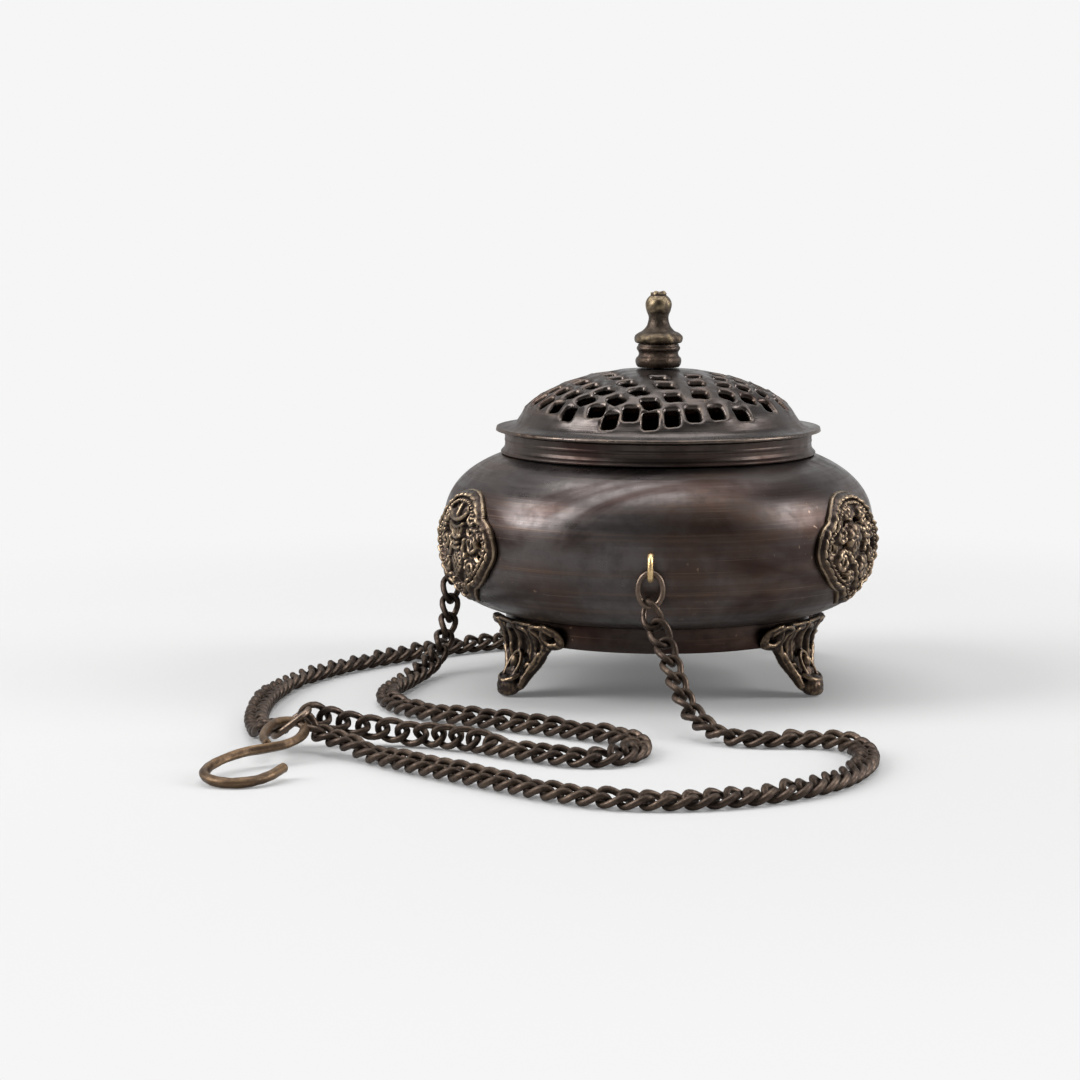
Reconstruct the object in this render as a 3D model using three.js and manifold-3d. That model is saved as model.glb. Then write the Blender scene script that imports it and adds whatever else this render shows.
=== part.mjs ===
// A hanging incense burner (thurible) of dark cast and spun bronze: a bowl on three feet with a
// pierced, lift-off lid, three soldered medallions, and three curb chains gathered on a ring and a hook.
// Millimetres, +Z up. The origin is on the table, under the bowl's axis. The front is -Y.
import * as THREE from "three";
import { mergeVertices } from "three/addons/utils/BufferGeometryUtils.js";
import Module from "manifold-3d";

const wasm = await Module();
wasm.setup();

// ---- Driving dimensions ----
const GAP = 0.3; // between pieces that touch
const ROUND = 40; // facets round the large turned pieces
const WALL = 1.8; // bowl, neck and base ring

const BOWL_R = 65; // at its widest
const BOWL_MID_Z = 47; // height of the widest circle
const SHOULDER = { rise: 28.08, power: 2.6 }; // the shoulder's superellipse
const BELLY = { rise: 26.5, power: 3.8 }; // the underside's superellipse
const BOWL_FLOOR_Z = 21.4; // underside of the flat bottom
const BOWL_FLOOR_R = 40;

const NECK_R = 46.35; // outer face
const NECK_TOP_Z = 76;
const NECK_FOOT_Z = 66; // its lower edge, inside the bowl's mouth
const BASE_RING_R = 46;
const BASE_RING_Z = 15.6;

const LID = { flangeR: 48.9, flangeZ: 76.3, flangeT: 1.2, domeR: 42, domeZ: 78.2, rise: 17.1, power: 2 };
const LID_SHELL = 2.4; // thickness of the pierced dome
const LID_BORE = 1.8;
const LID_FACETS = 30;
const HOLE = { wide: 5.1, deep: 5.6, pitch: 6.5 }; // one smoke hole, and the least distance between two
const HOLE_FIELD = { inner: 11.5, outer: 39.6, front: 44.6, edge: 38, rim: 40.8 }; // radii that bound the holes

const EYE_AZIMUTHS = { front: -4, back_left: -112, back_right: 128 };
const EYE_Z = 43.6;
const EYE_WIRE_R = 0.85;
const EYE_RING_R = 67.4; // where the jump ring hangs
const JUMP_RING = { wireR: 0.8, wide: 7, tall: 9.6 }; // sizes of its centreline
const FOOT_AZIMUTHS = { left: -59, right: 59, back: 180 };
const MEDALLION_AZIMUTHS = { left: -64, right: 58, back: 180 };
const MEDALLION = { mid: 45, thick: 3.3 };

const CHAIN_TUBE_R = 1.85; // a plain tube that weighs what the open curb links weigh
const GATHER_RING = { wireR: 0.9, wide: 7.6, long: 11.5, at: [-102.2, -107, 7.3] };
const HOOK_WIRE_R = 1.3;
const HOOK_TILT = { y: -155.9, z: 1.4, slope: 0.12 }; // the hook leans on the ring

// ---- Helpers ----
const DEG = Math.PI / 180;
const clamp01 = (t) => Math.min(1, Math.max(0, t));

function metal(color, roughness) {
  return new THREE.MeshStandardMaterial({ color, roughness, metalness: 1 });
}

function solidOf(geometry) {
  const g = geometry.clone();
  g.deleteAttribute("normal");
  g.deleteAttribute("uv");
  const merged = mergeVertices(g, 1e-4);
  return new wasm.Manifold(
    new wasm.Mesh({
      numProp: 3,
      vertProperties: merged.attributes.position.array,
      triVerts: new Uint32Array(merged.index.array),
    }),
  );
}

function geometryOf(solid) {
  const m = solid.getMesh();
  const g = new THREE.BufferGeometry();
  const points = new Float32Array(m.numVert * 3);
  for (let i = 0; i < m.numVert; i++) {
    points.set(m.vertProperties.subarray(i * m.numProp, i * m.numProp + 3), i * 3);
  }
  g.setAttribute("position", new THREE.BufferAttribute(points, 3));
  g.setIndex(new THREE.BufferAttribute(new Uint32Array(m.triVerts), 1));
  g.computeVertexNormals();
  return g;
}

// A solid of revolution about Z from [radius, height] pairs, listed anticlockwise.
function turned(profile, facets = ROUND) {
  const points = profile.map(([r, z]) => new THREE.Vector2(r, z));
  return new THREE.LatheGeometry(points, facets).rotateX(Math.PI / 2);
}

// A ring-shaped solid: its closed section, listed anticlockwise.
function turnedRing(section, facets = ROUND) {
  return turned([...section, section[0]], facets);
}

function wire(points, radius, sides, steps) {
  const curve = new THREE.CatmullRomCurve3(points.map((p) => new THREE.Vector3(...p)), false, "centripetal");
  const section = new THREE.Shape();
  for (let i = 0; i < sides; i++) {
    const a = (2 * Math.PI * i) / sides;
    if (i === 0) section.moveTo(radius, 0);
    else section.lineTo(radius * Math.cos(a), radius * Math.sin(a));
  }
  section.closePath();
  return new THREE.ExtrudeGeometry(section, { steps, extrudePath: curve, bevelEnabled: false });
}

// An oval wire ring in its own XY plane, long along Y.
function ovalRing(wide, long, wireR, facets = 18) {
  const g = new THREE.TorusGeometry(wide / 2, wireR, 6, facets);
  const p = g.attributes.position;
  for (let i = 0; i < p.count; i++) {
    p.setY(i, p.getY(i) + ((long - wide) / 2) * Math.max(-1, Math.min(1, p.getY(i))));
  }
  return g;
}

// Local X along the tangent, local Y up, local Z outward, at an azimuth counted from the front.
function facing(azimuth, radius, z) {
  const a = azimuth * DEG;
  const tangent = new THREE.Vector3(Math.cos(a), Math.sin(a), 0);
  const outward = new THREE.Vector3(Math.sin(a), -Math.cos(a), 0);
  const m = new THREE.Matrix4().makeBasis(tangent, new THREE.Vector3(0, 0, 1), outward);
  return m.setPosition(outward.x * radius, outward.y * radius, z);
}

const root = new THREE.Group();
function add(name, geometry, material) {
  const mesh = new THREE.Mesh(geometry, material);
  mesh.name = name;
  root.add(mesh);
  return mesh;
}

const bronze = metal(0x3a302c, 0.42);
const castBronze = metal(0x4a3b2e, 0.5);
const wornBrass = metal(0x8a6a3c, 0.45);
const brightBrass = metal(0xc9a04e, 0.3);
const chainIron = metal(0x40362f, 0.55);
const copper = metal(0x6b4634, 0.5);

// ---- Bowl, neck and base ring ----
function superellipse(t, power) {
  return Math.pow(1 - Math.pow(t, power), 1 / power);
}

// Outer surface of the bowl: its height at a radius, above or below the widest circle.
const shoulderZ = (r) => BOWL_MID_Z + SHOULDER.rise * superellipse(r / BOWL_R, SHOULDER.power);
const bellyZ = (r) => BOWL_MID_Z - BELLY.rise * superellipse(r / BOWL_R, BELLY.power);

function bowlRadius(z) {
  const half = z > BOWL_MID_Z ? SHOULDER : BELLY;
  return BOWL_R * superellipse(Math.abs(z - BOWL_MID_Z) / half.rise, half.power);
}

const MOUTH_R = NECK_R + GAP;

const SIDE_HEIGHTS = [22.6, 24.6, 28, 34, 47, 55, 61.5, 66]; // facets up the bowl's side

// The bowl's outline from the floor to the mouth, drawn in or out by an offset. Below the widest circle
// it shrinks towards that circle's centre, so that the nearly flat underside keeps its thickness.
function bowlSkin(offset) {
  const skin = SIDE_HEIGHTS.map((z) => {
    if (z >= BOWL_MID_Z) return [bowlRadius(z) + offset, z];
    const drop = (BOWL_MID_Z - z) * (1 + offset / BELLY.rise);
    return [bowlRadius(z) * (1 + offset / BOWL_R), BOWL_MID_Z - drop];
  });
  skin.unshift([BOWL_FLOOR_R + offset, BOWL_FLOOR_Z - offset]);
  skin.push([MOUTH_R, shoulderZ(MOUTH_R) + offset]);
  return skin;
}

function bowl() {
  const outer = [[0, BOWL_FLOOR_Z], ...bowlSkin(0)];
  const inner = [...bowlSkin(-WALL).reverse(), [0, BOWL_FLOOR_Z + WALL]];
  let body = solidOf(turned([...outer, ...inner]));
  for (const azimuth of Object.values(EYE_AZIMUTHS)) {
    const slot = new THREE.CylinderGeometry(1, 1, 10, 12).rotateX(Math.PI / 2).scale(1.3, 2.35, 1);
    body = body.subtract(solidOf(slot.applyMatrix4(facing(azimuth, BOWL_R, EYE_Z))));
  }
  return geometryOf(body);
}

function neckCollar() {
  const inner = NECK_R - WALL;
  const bead = shoulderZ(MOUTH_R) + GAP;
  return turnedRing([
    [inner, NECK_FOOT_Z],
    [NECK_R, NECK_FOOT_Z],
    [NECK_R, bead],
    [NECK_R + 0.9, bead + 0.1],
    [NECK_R + 0.6, bead + 0.9],
    [NECK_R, bead + 1.6],
    [NECK_R, NECK_TOP_Z],
    [inner, NECK_TOP_Z],
  ]);
}

function baseRing() {
  const inner = BASE_RING_R - 2;
  return turnedRing([
    [inner, BASE_RING_Z],
    [BASE_RING_R, BASE_RING_Z],
    [BASE_RING_R, bellyZ(BASE_RING_R) - GAP],
    [inner, bellyZ(inner) - GAP],
  ]);
}

add("bowl", bowl(), bronze);
add("neck_collar", neckCollar(), bronze);
add("base_ring", baseRing(), bronze);

// ---- Lid ----
const DOME_IN = {
  r: LID.domeR - LID_SHELL,
  rise: LID.rise - LID_SHELL,
  z: (r) => LID.domeZ + DOME_IN.rise * superellipse(r / DOME_IN.r, LID.power),
};

function domeZ(r) {
  return LID.domeZ + LID.rise * superellipse(Math.min(1, r / LID.domeR), LID.power);
}

function lidBlank() {
  const top = LID.flangeZ + LID.flangeT;
  const skin = [41.2, 38, 32.5, 25, 15, LID_BORE].map((r) => [r, domeZ(r)]);
  const under = [8, 17, 28, 35, 38.4].map((r) => [r, DOME_IN.z(r)]);
  const section = [
    [39.4, LID.flangeZ],
    [LID.flangeR - 0.2, LID.flangeZ],
    [LID.flangeR, LID.flangeZ + 0.6],
    [LID.flangeR - 0.1, top],
    [46.5, top - 0.3],
    [44.6, top + 0.4],
    [42.6, top + 1.8],
    ...skin,
    [LID_BORE, DOME_IN.z(0)],
    ...under,
  ];
  return turnedRing(section, LID_FACETS);
}

// The smoke holes follow a leaning grid that was pressed into the dome: columns fan out towards the
// front left, and rows climb to the right. The front row sits to the right of its columns, down on the
// dome's steep foot, and holes that would run off the foot are drawn back onto it.
function holeCentres() {
  const centres = [];
  for (let column = -9; column <= 9; column++) {
    const x0 = 1.8 + 42 * Math.tanh(0.22 * column);
    const lean = 0.25 * Math.tanh(x0 / 8) - 0.3;
    for (let row = -9; row <= 9; row++) {
      const c = 6.5 + 8 * row;
      const aside = row < -5 ? 4.2 : 0;
      let x = x0;
      let y = c;
      for (let pass = 0; pass < 8; pass++) {
        y = c + 0.4 * x;
        x = x0 + aside + lean * 20 * Math.tanh((y + 27) / 20);
      }
      const r = Math.hypot(x, y);
      const outer = y < -30 && x > -20 ? HOLE_FIELD.front : HOLE_FIELD.outer;
      if (r < HOLE_FIELD.inner || r > outer || Math.abs(x0) > HOLE_FIELD.edge) continue;
      const past = Math.max(0, r - HOLE_FIELD.edge);
      const kept = r - past + 2.4 * (1 - Math.exp(-past / 2.4));
      centres.push({ x: (x * kept) / r, y: (y * kept) / r, lean });
    }
  }
  return spread(centres);
}

// Moves crowded holes apart until sound strands of metal are left between them.
function spread(centres) {
  const height = ({ x, y }) => domeZ(Math.hypot(x, y));
  for (let pass = 0; pass < 40; pass++) {
    for (const [i, a] of centres.entries()) {
      for (const b of centres.slice(i + 1)) {
        const [dx, dy] = [b.x - a.x, b.y - a.y];
        const distance = Math.hypot(dx, dy, height(b) - height(a));
        if (distance >= HOLE.pitch) continue;
        const push = (0.3 * (HOLE.pitch - distance)) / Math.hypot(dx, dy);
        a.x -= push * dx;
        a.y -= push * dy;
        b.x += push * dx;
        b.y += push * dy;
      }
    }
    for (const hole of centres) {
      const back = Math.min(1, HOLE_FIELD.rim / Math.hypot(hole.x, hole.y));
      hole.x *= back;
      hole.y *= back;
    }
  }
  return centres;
}

function rectangle(wide, deep) {
  const s = new THREE.Shape();
  const [x, y] = [wide / 2, deep / 2];
  s.moveTo(-x, -y);
  s.lineTo(x, -y);
  s.lineTo(x, y);
  s.lineTo(-x, y);
  s.closePath();
  return s;
}

function holeCutter({ x, y, lean }) {
  const r = Math.hypot(x, y);
  const slope = (domeZ(r + 0.2) - domeZ(r - 0.2)) / 0.4;
  const normal = new THREE.Vector3((-slope * x) / r, (-slope * y) / r, 1).normalize();
  const along = new THREE.Vector3(lean, 1, 0);
  along.addScaledVector(normal, -along.dot(normal)).normalize();
  const across = new THREE.Vector3().crossVectors(along, normal);
  const frame = new THREE.Matrix4().makeBasis(across, along, normal).setPosition(x, y, domeZ(r));
  const section = rectangle(HOLE.wide, HOLE.deep);
  const depth = 9;
  const prism = new THREE.ExtrudeGeometry(section, { depth, bevelEnabled: false });
  return prism.translate(0, 0, -depth + 2.5).applyMatrix4(frame);
}

function lid() {
  let body = solidOf(lidBlank());
  for (const centre of holeCentres()) body = body.subtract(solidOf(holeCutter(centre)));
  return geometryOf(body);
}

function locatingRing() {
  const top = LID.flangeZ - GAP;
  return turnedRing([
    [42.6, top - 4.5],
    [43.8, top - 4.5],
    [43.8, top],
    [42.6, top],
  ]);
}

const DRUM_TOP_Z = 102.5;
const DOME_TOP_Z = LID.domeZ + LID.rise;

function finialKnob() {
  const foot = DRUM_TOP_Z + GAP;
  const outline = [
    [1.5, 87.6],
    [1.5, foot],
    [6.8, foot],
    [7.2, 104.3],
    [6.6, 105.4],
    [5, 106.8],
    [3.2, 108.3],
    [2.7, 110],
    [3.1, 111.4],
    [3.8, 113],
    [3.9, 114.8],
    [3.3, 116.4],
    [2, 117.4],
    [1.8, 118.2],
  ];
  return turned([[0, 87.6], ...outline, [0, 118.2]], 20);
}

function finialDrum() {
  const foot = DOME_TOP_Z + GAP;
  return turnedRing(
    [
      [LID_BORE, foot],
      [6, foot],
      [6.8, foot + 1.6],
      [6.7, foot + 2.6],
      [6, foot + 4],
      [6.1, foot + 6],
      [6.4, DRUM_TOP_Z],
      [LID_BORE, DRUM_TOP_Z],
    ],
    20,
  );
}

function plainWasher(inner, outer, low, high, facets) {
  const section = [
    [inner, low],
    [outer, low],
    [outer, high],
    [inner, high],
  ];
  return turnedRing(section, facets);
}

const DOME_UNDER_Z = DOME_IN.z(0);
add("lid", lid(), bronze);
add("lid_locating_ring", locatingRing(), bronze);
add("finial_drum", finialDrum(), castBronze);
add("finial_knob", finialKnob(), wornBrass);
add("finial_washer", plainWasher(LID_BORE, 4.6, DOME_UNDER_Z - 1.1, DOME_UNDER_Z - GAP, 18), castBronze);
add("finial_nut", plainWasher(LID_BORE, 3.4, DOME_UNDER_Z - 4.2, DOME_UNDER_Z - 1.4, 6), castBronze);

// ---- Charcoal pan, loose on the bowl's floor ----
function charcoalPan() {
  const foot = BOWL_FLOOR_Z + WALL + GAP;
  const skin = (t) => [
    [22, foot + t],
    [29 - 0.6 * t, foot + 3 + 0.7 * t],
    [33 - t, foot + 11],
    [34.5 - t, foot + 25],
  ];
  const rim = [
    [36.4, foot + 25.4],
    [36.4, foot + 26.4],
    [33.8, foot + 26.4],
  ];
  return turned([[0, foot], ...skin(0), ...rim, ...skin(1.2).reverse(), [0, foot + 1.2]], 32);
}
add("charcoal_pan", charcoalPan(), copper);

// ---- Feet: cast brackets soldered under the bowl, each toe filed flat where it stands ----
const TOE_R = 52.4;

// The inner face of a foot, from the flare under the bowl down to the toe that kicks out.
function footInnerR(z) {
  const flare = 3.2 * Math.pow(clamp01((z - 16) / 6), 1.5);
  const kick = 4.2 * Math.pow(clamp01((11 - z) / 9), 1.6);
  return BASE_RING_R + GAP + flare + kick;
}

function footShell() {
  const heights = [1.2, 4, 7.5, 11, 16, 19, 23.2];
  const inner = heights.map((z) => [footInnerR(z), z]);
  const outer = heights.map((z) => [footInnerR(z) + 2.6, z]).reverse();
  return solidOf(turnedRing([...outer, ...inner].reverse(), ROUND));
}

function footOutline() {
  const half = [
    [4.4, 1.2],
    [5.2, 4],
    [6.2, 5.8],
    [7.6, 8],
    [9, 10],
    [10.4, 12],
    [11.8, 14.2],
    [14.8, 15],
    [17.2, 17],
    [17.4, 19.6],
    [16.8, 23.2],
  ];
  const s = new THREE.Shape();
  s.moveTo(-4.4, 1.2);
  for (const [u, z] of half) s.lineTo(u, z);
  for (const [u, z] of half.slice(1).reverse()) s.lineTo(-u, z);
  s.closePath();
  for (const side of [-1, 1]) {
    for (const [u, z, a, b, tilt] of [
      [3.7, 15.8, 1.3, 3.4, 0.1],
      [8.9, 15.4, 1.1, 2.5, 0.3],
    ]) {
      const slot = new THREE.Path();
      slot.absellipse(u * side, z, a, b, 0, 2 * Math.PI, false, tilt * side);
      s.holes.push(slot);
    }
  }
  return s;
}

function foot(azimuth, shell) {
  const prism = new THREE.ExtrudeGeometry(footOutline(), { depth: 20, bevelEnabled: false, curveSegments: 3 });
  const plate = shell.intersect(solidOf(prism.applyMatrix4(facing(azimuth, 40, 0))));
  const toe = new THREE.SphereGeometry(1, 10, 6).scale(4.3, 3.6, 3.4);
  const boss = new THREE.SphereGeometry(1, 6, 4).scale(1.7, 2.8, 1.3);
  const table = new THREE.BoxGeometry(30, 10, 30).translate(0, -5, 0);
  const body = plate
    .add(solidOf(toe.applyMatrix4(facing(azimuth, TOE_R, 3))))
    .add(solidOf(boss.applyMatrix4(facing(azimuth, 49.4, 9.6))))
    .subtract(solidOf(table.applyMatrix4(facing(azimuth, TOE_R, 0))));
  return geometryOf(body);
}

const shellOfFeet = footShell();
for (const [side, azimuth] of Object.entries(FOOT_AZIMUTHS)) {
  add("foot_" + side, foot(azimuth, shellOfFeet), castBronze);
}

// ---- Medallions: pierced cartouches that follow the bowl's side ----
function medallionShell() {
  const skin = (offset) => SIDE_HEIGHTS.slice(1).map((z) => [bowlRadius(z) + offset, z]);
  const section = [...skin(GAP), ...skin(GAP + MEDALLION.thick).reverse()];
  return solidOf(turnedRing(section.reverse(), ROUND));
}

function medallionOutline() {
  const half = [
    [0, 16.6],
    [5.5, 15.8],
    [10, 12.8],
    [12.4, 9],
    [15.3, 7],
    [17.6, 2.6],
    [18, -1],
    [15.1, -5.6],
    [11.8, -9.4],
    [7.6, -12],
    [3.3, -15.4],
  ];
  const s = new THREE.Shape();
  s.moveTo(0, -17);
  for (const [u, v] of half.slice().reverse()) s.lineTo(u, v);
  for (const [u, v] of half.slice(1)) s.lineTo(-u, v);
  s.closePath();
  for (const side of [-1, 1]) {
    for (const [u, v, a, b] of [
      [5.2, 9.2, 1.5, 1.9],
      [10.6, 2.4, 1.8, 1.4],
      [8.6, -4.6, 1.4, 2],
    ]) {
      const hole = new THREE.Path();
      hole.absellipse(u * side, v, a, b, 0, 2 * Math.PI, false, 0);
      s.holes.push(hole);
    }
  }
  return s;
}

function medallion(azimuth, shell) {
  const cut = { depth: 30, bevelEnabled: false, curveSegments: 3 };
  const prism = new THREE.ExtrudeGeometry(medallionOutline(), cut);
  return geometryOf(shell.intersect(solidOf(prism.applyMatrix4(facing(azimuth, 50, MEDALLION.mid)))));
}

const shellOfMedallions = medallionShell();
for (const [side, azimuth] of Object.entries(MEDALLION_AZIMUTHS)) {
  add("medallion_" + side, medallion(azimuth, shellOfMedallions), castBronze);
}

// ---- Chain eyes (split pins through the wall) and jump rings ----
// Half of the split pin: [radius, height above the eye's centre], from the bent leg to the loop's nose.
const SPLIT_PIN = [
  [60.2, 6.4],
  [60.6, 3.4],
  [61.4, 1.4],
  [62.8, 1],
  [64.7, 1],
  [65.6, 1.5],
  [66.2, 2.6],
  [67.4, 3.3],
  [69, 2.5],
  [69.8, 0],
];

function chainEye(azimuth) {
  const mirrored = SPLIT_PIN.slice(0, -1).reverse();
  const path = [...SPLIT_PIN, ...mirrored.map(([r, h]) => [r, -h])];
  const g = wire(path.map(([r, h]) => [0, h, r]), EYE_WIRE_R, 6, 26);
  return g.applyMatrix4(facing(azimuth, 0, EYE_Z));
}

function jumpRing(azimuth) {
  const g = ovalRing(JUMP_RING.wide, JUMP_RING.tall, JUMP_RING.wireR);
  const topZ = EYE_Z - 3.3 + EYE_WIRE_R + JUMP_RING.wireR + 0.25;
  return g.applyMatrix4(facing(azimuth, EYE_RING_R, topZ - JUMP_RING.tall / 2));
}

for (const [side, azimuth] of Object.entries(EYE_AZIMUTHS)) {
  add("chain_eye_" + side, chainEye(azimuth), brightBrass);
  add("jump_ring_" + side, jumpRing(azimuth), chainIron);
}

// ---- Chains: each hangs from its jump ring, lies in loops on the table and ends at the gather ring ----
const CHAIN_ROUTES = {
  front: [
    [-4.7, -67.2, 31.2],
    [-3, -68.6, 27.4],
    [-1.2, -70.8, 23.4],
    [0.2, -73.8, 19.6],
    [1.6, -77.8, 15.4],
    [3.6, -83.4, 10.4],
    [6.2, -88.8, 6.4],
    [9.6, -94.4, 4],
    [14, -99.6, 2.6],
    [20, -103, 2.6],
    [27, -104, 2.6],
    [34.5, -103.8, 2.6],
    [41.5, -105.6, 2.6],
    [46.8, -111, 2.6],
    [49.4, -119, 2.6],
    [49.2, -130, 2.6],
    [45.8, -142.5, 2.6],
    [39.8, -154.5, 2.6],
    [31, -165, 2.6],
    [20, -172.8, 2.6],
    [7, -178.4, 2.6],
    [-7, -180.4, 2.6],
    [-20, -177.8, 2.6],
    [-32, -170.4, 2.6],
    [-45, -159, 2.6],
    [-58, -147, 2.6],
    [-70, -135, 2.6],
    [-78.6, -125, 2.8],
    [-85.2, -118, 3.8],
    [-90.4, -113.4, 4.5],
    [-94.4, -110.2, 5.4],
  ],
  back_left: [
    [-62.5, 25.2, 31.2],
    [-63.3, 24.3, 27],
    [-63.7, 23, 22],
    [-64, 21, 17],
    [-64.8, 18, 12.6],
    [-66.2, 13.8, 8.6],
    [-68.2, 8.8, 5.4],
    [-70.6, 2, 3.8],
    [-73.8, -7, 2.6],
    [-76.9, -18, 2.6],
    [-79.4, -29, 2.6],
    [-80, -40, 2.6],
    [-77.8, -50.6, 2.6],
    [-72.4, -60, 2.6],
    [-64.4, -67.8, 2.6],
    [-54.6, -75, 2.6],
    [-43, -82.2, 2.6],
    [-31, -89.4, 2.6],
    [-20.5, -96, 2.6],
    [-13, -103, 2.6],
    [-9.4, -112, 2.6],
    [-11, -122, 2.6],
    [-17.6, -129, 2.6],
    [-26.6, -129.2, 2.6],
    [-36, -123.6, 2.6],
    [-46.5, -116, 2.6],
    [-57.5, -109, 2.8],
    [-67.5, -104, 3.3],
    [-76, -102, 4.4],
    [-84, -102, 5.6],
    [-91.4, -102.4, 7.4],
  ],
  back_right: [
    [53.1, 41.5, 31.2],
    [53.4, 42.2, 26.4],
    [53.2, 43.4, 20.4],
    [52.4, 45.4, 14],
    [50.4, 48.8, 8.4],
    [47, 53.4, 4.4],
    [41.6, 58.4, 2.8],
    [34, 62, 2.6],
    [24, 64.8, 2.6],
    [8, 66.4, 2.6],
    [-8, 66, 2.6],
    [-24, 63.6, 2.6],
    [-39, 59.6, 2.6],
    [-52, 54, 2.6],
    [-63, 47, 2.6],
    [-73, 38.6, 2.6],
    [-82, 29.4, 2.6],
    [-90.5, 19.6, 2.6],
    [-98.5, 8.6, 2.6],
    [-105.4, -4, 2.6],
    [-110.8, -18, 2.6],
    [-114, -34, 2.6],
    [-115.4, -50, 2.6],
    [-115.4, -66, 2.6],
    [-114.2, -80, 2.8],
    [-112.2, -91, 3.3],
    [-110.4, -98.4, 4.2],
  ],
};
const CHAIN_STEPS = 38;
for (const [side, route] of Object.entries(CHAIN_ROUTES)) {
  add("chain_" + side, wire(route, CHAIN_TUBE_R, 6, CHAIN_STEPS), chainIron);
}

// ---- Gather ring and S-hook, lying on the chains' ends ----
function gatherRing() {
  const lean = Math.atan2(0.6, 0.8);
  const g = ovalRing(GATHER_RING.wide, GATHER_RING.long, GATHER_RING.wireR);
  return g.rotateZ(-Math.PI / 2).rotateY(-lean).translate(...GATHER_RING.at);
}

// The hook's line in plan, from the end of the small closed loop to the tip of the open bow.
const HOOK_LINE = [
  [-107, -124.2],
  [-108.5, -119],
  [-107.9, -111.6],
  [-105.4, -106.4],
  [-100.6, -106.2],
  [-98.3, -111.4],
  [-98.9, -119.4],
  [-102.2, -125.2],
  [-106.6, -128.2],
  [-112, -131.4],
  [-116.9, -137],
  [-120.2, -144],
  [-120.4, -150],
  [-117.6, -154.2],
  [-113, -155.9],
  [-108, -154.6],
  [-104, -150.4],
  [-101, -144],
];

function sHook() {
  const lift = ([x, y]) => [x, y, HOOK_TILT.z + HOOK_TILT.slope * (y - HOOK_TILT.y)];
  return wire(HOOK_LINE.map(lift), HOOK_WIRE_R, 6, 34);
}

add("gather_ring", gatherRing(), chainIron);
add("s_hook", sHook(), wornBrass);

export default root;
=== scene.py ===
import math

import bpy
import numpy as np
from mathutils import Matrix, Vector, noise


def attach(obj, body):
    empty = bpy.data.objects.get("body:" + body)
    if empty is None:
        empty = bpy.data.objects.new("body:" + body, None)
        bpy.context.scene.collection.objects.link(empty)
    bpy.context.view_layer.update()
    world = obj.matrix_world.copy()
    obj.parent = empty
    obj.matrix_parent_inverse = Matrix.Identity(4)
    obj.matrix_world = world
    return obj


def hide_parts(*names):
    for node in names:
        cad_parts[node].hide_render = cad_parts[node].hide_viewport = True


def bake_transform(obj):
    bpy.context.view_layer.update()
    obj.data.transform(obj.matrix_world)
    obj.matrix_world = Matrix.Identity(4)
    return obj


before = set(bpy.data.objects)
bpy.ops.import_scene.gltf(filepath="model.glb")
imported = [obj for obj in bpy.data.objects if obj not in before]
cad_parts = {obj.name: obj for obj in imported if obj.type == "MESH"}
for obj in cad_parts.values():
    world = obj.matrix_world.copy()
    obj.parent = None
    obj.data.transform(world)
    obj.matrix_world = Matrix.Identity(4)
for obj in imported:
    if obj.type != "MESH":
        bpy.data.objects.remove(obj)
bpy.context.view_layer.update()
scene = bpy.context.scene

MM = 0.001
UP = np.array([0.0, 0.0, 1.0])

# ---- Sizes shared with the CAD frame ----
WALL = 1.8
BOWL_R = 65.0
BOWL_MID_Z = 47.0
SHOULDER_RISE, SHOULDER_POWER = 28.08, 2.6
BELLY_RISE, BELLY_POWER = 26.5, 3.8
BOWL_FLOOR_Z, BOWL_FLOOR_R = 21.4, 40.0
NECK_R, NECK_RIM_Z, NECK_FOOT_Z = 46.35, 76.2, 66.0
MOUTH_R = NECK_R + 0.3
BASE_RING_R, BASE_RING_Z = 46.0, 15.6
LID_FLANGE_R, LID_FLANGE_Z = 48.9, 76.3
DOME_R, DOME_Z, DOME_RISE, DOME_POWER = 42.0, 78.2, 17.1, 2.0
DOME_TOP_Z = DOME_Z + DOME_RISE
DOME_SHELL = 2.4
EYES = {"front": -4.0, "back_left": -112.0, "back_right": 128.0}
EYE_Z, EYE_WIRE_R, EYE_RING_R = 43.6, 0.85, 67.4
FEET = {"left": -59.0, "right": 59.0, "back": 180.0}
MEDALLIONS = {"left": -64.0, "right": 58.0, "back": 180.0}
MEDALLION_MID_Z = 45.0
HOLE_PITCH, HOLES_INNER_R, HOLES_OUTER_R, HOLES_FRONT_R, HOLES_EDGE_R, HOLES_RIM_R = 6.5, 11.5, 39.6, 44.6, 38.0, 40.8
RING_AT = np.array([-102.2, -107.0, 7.3])
HOOK_TILT_Y, HOOK_TILT_Z, HOOK_SLOPE = -155.9, 1.4, 0.12


# ---- Curves ----
def spline(points, per=16):
    """The centripetal Catmull-Rom curve through the points."""
    p = np.array(points, float)
    p = np.vstack([2 * p[0] - p[1], p, 2 * p[-1] - p[-2]])
    out = [p[1]]
    for i in range(1, len(p) - 2):
        a, b, c, d = p[i - 1 : i + 3]
        t0, t1, t2 = (max(1e-4, np.linalg.norm(e) ** 0.5) for e in (b - a, c - b, d - c))
        m1 = ((b - a) / t0 - (c - a) / (t0 + t1) + (c - b) / t1) * t1
        m2 = ((c - b) / t1 - (d - b) / (t1 + t2) + (d - c) / t2) * t1
        for k in range(1, per + 1):
            t = k / per
            out.append(
                (2 * t**3 - 3 * t**2 + 1) * b
                + (t**3 - 2 * t**2 + t) * m1
                + (3 * t**2 - 2 * t**3) * c
                + (t**3 - t**2) * m2
            )
    return np.array(out)


def arc_lengths(line):
    return np.concatenate([[0], np.cumsum(np.linalg.norm(np.diff(line, axis=0), axis=1))])


def along(line, s, at):
    """Points of the line at the arc lengths asked for."""
    return np.stack([np.interp(at, s, line[:, k]) for k in range(line.shape[1])], axis=-1)


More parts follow.
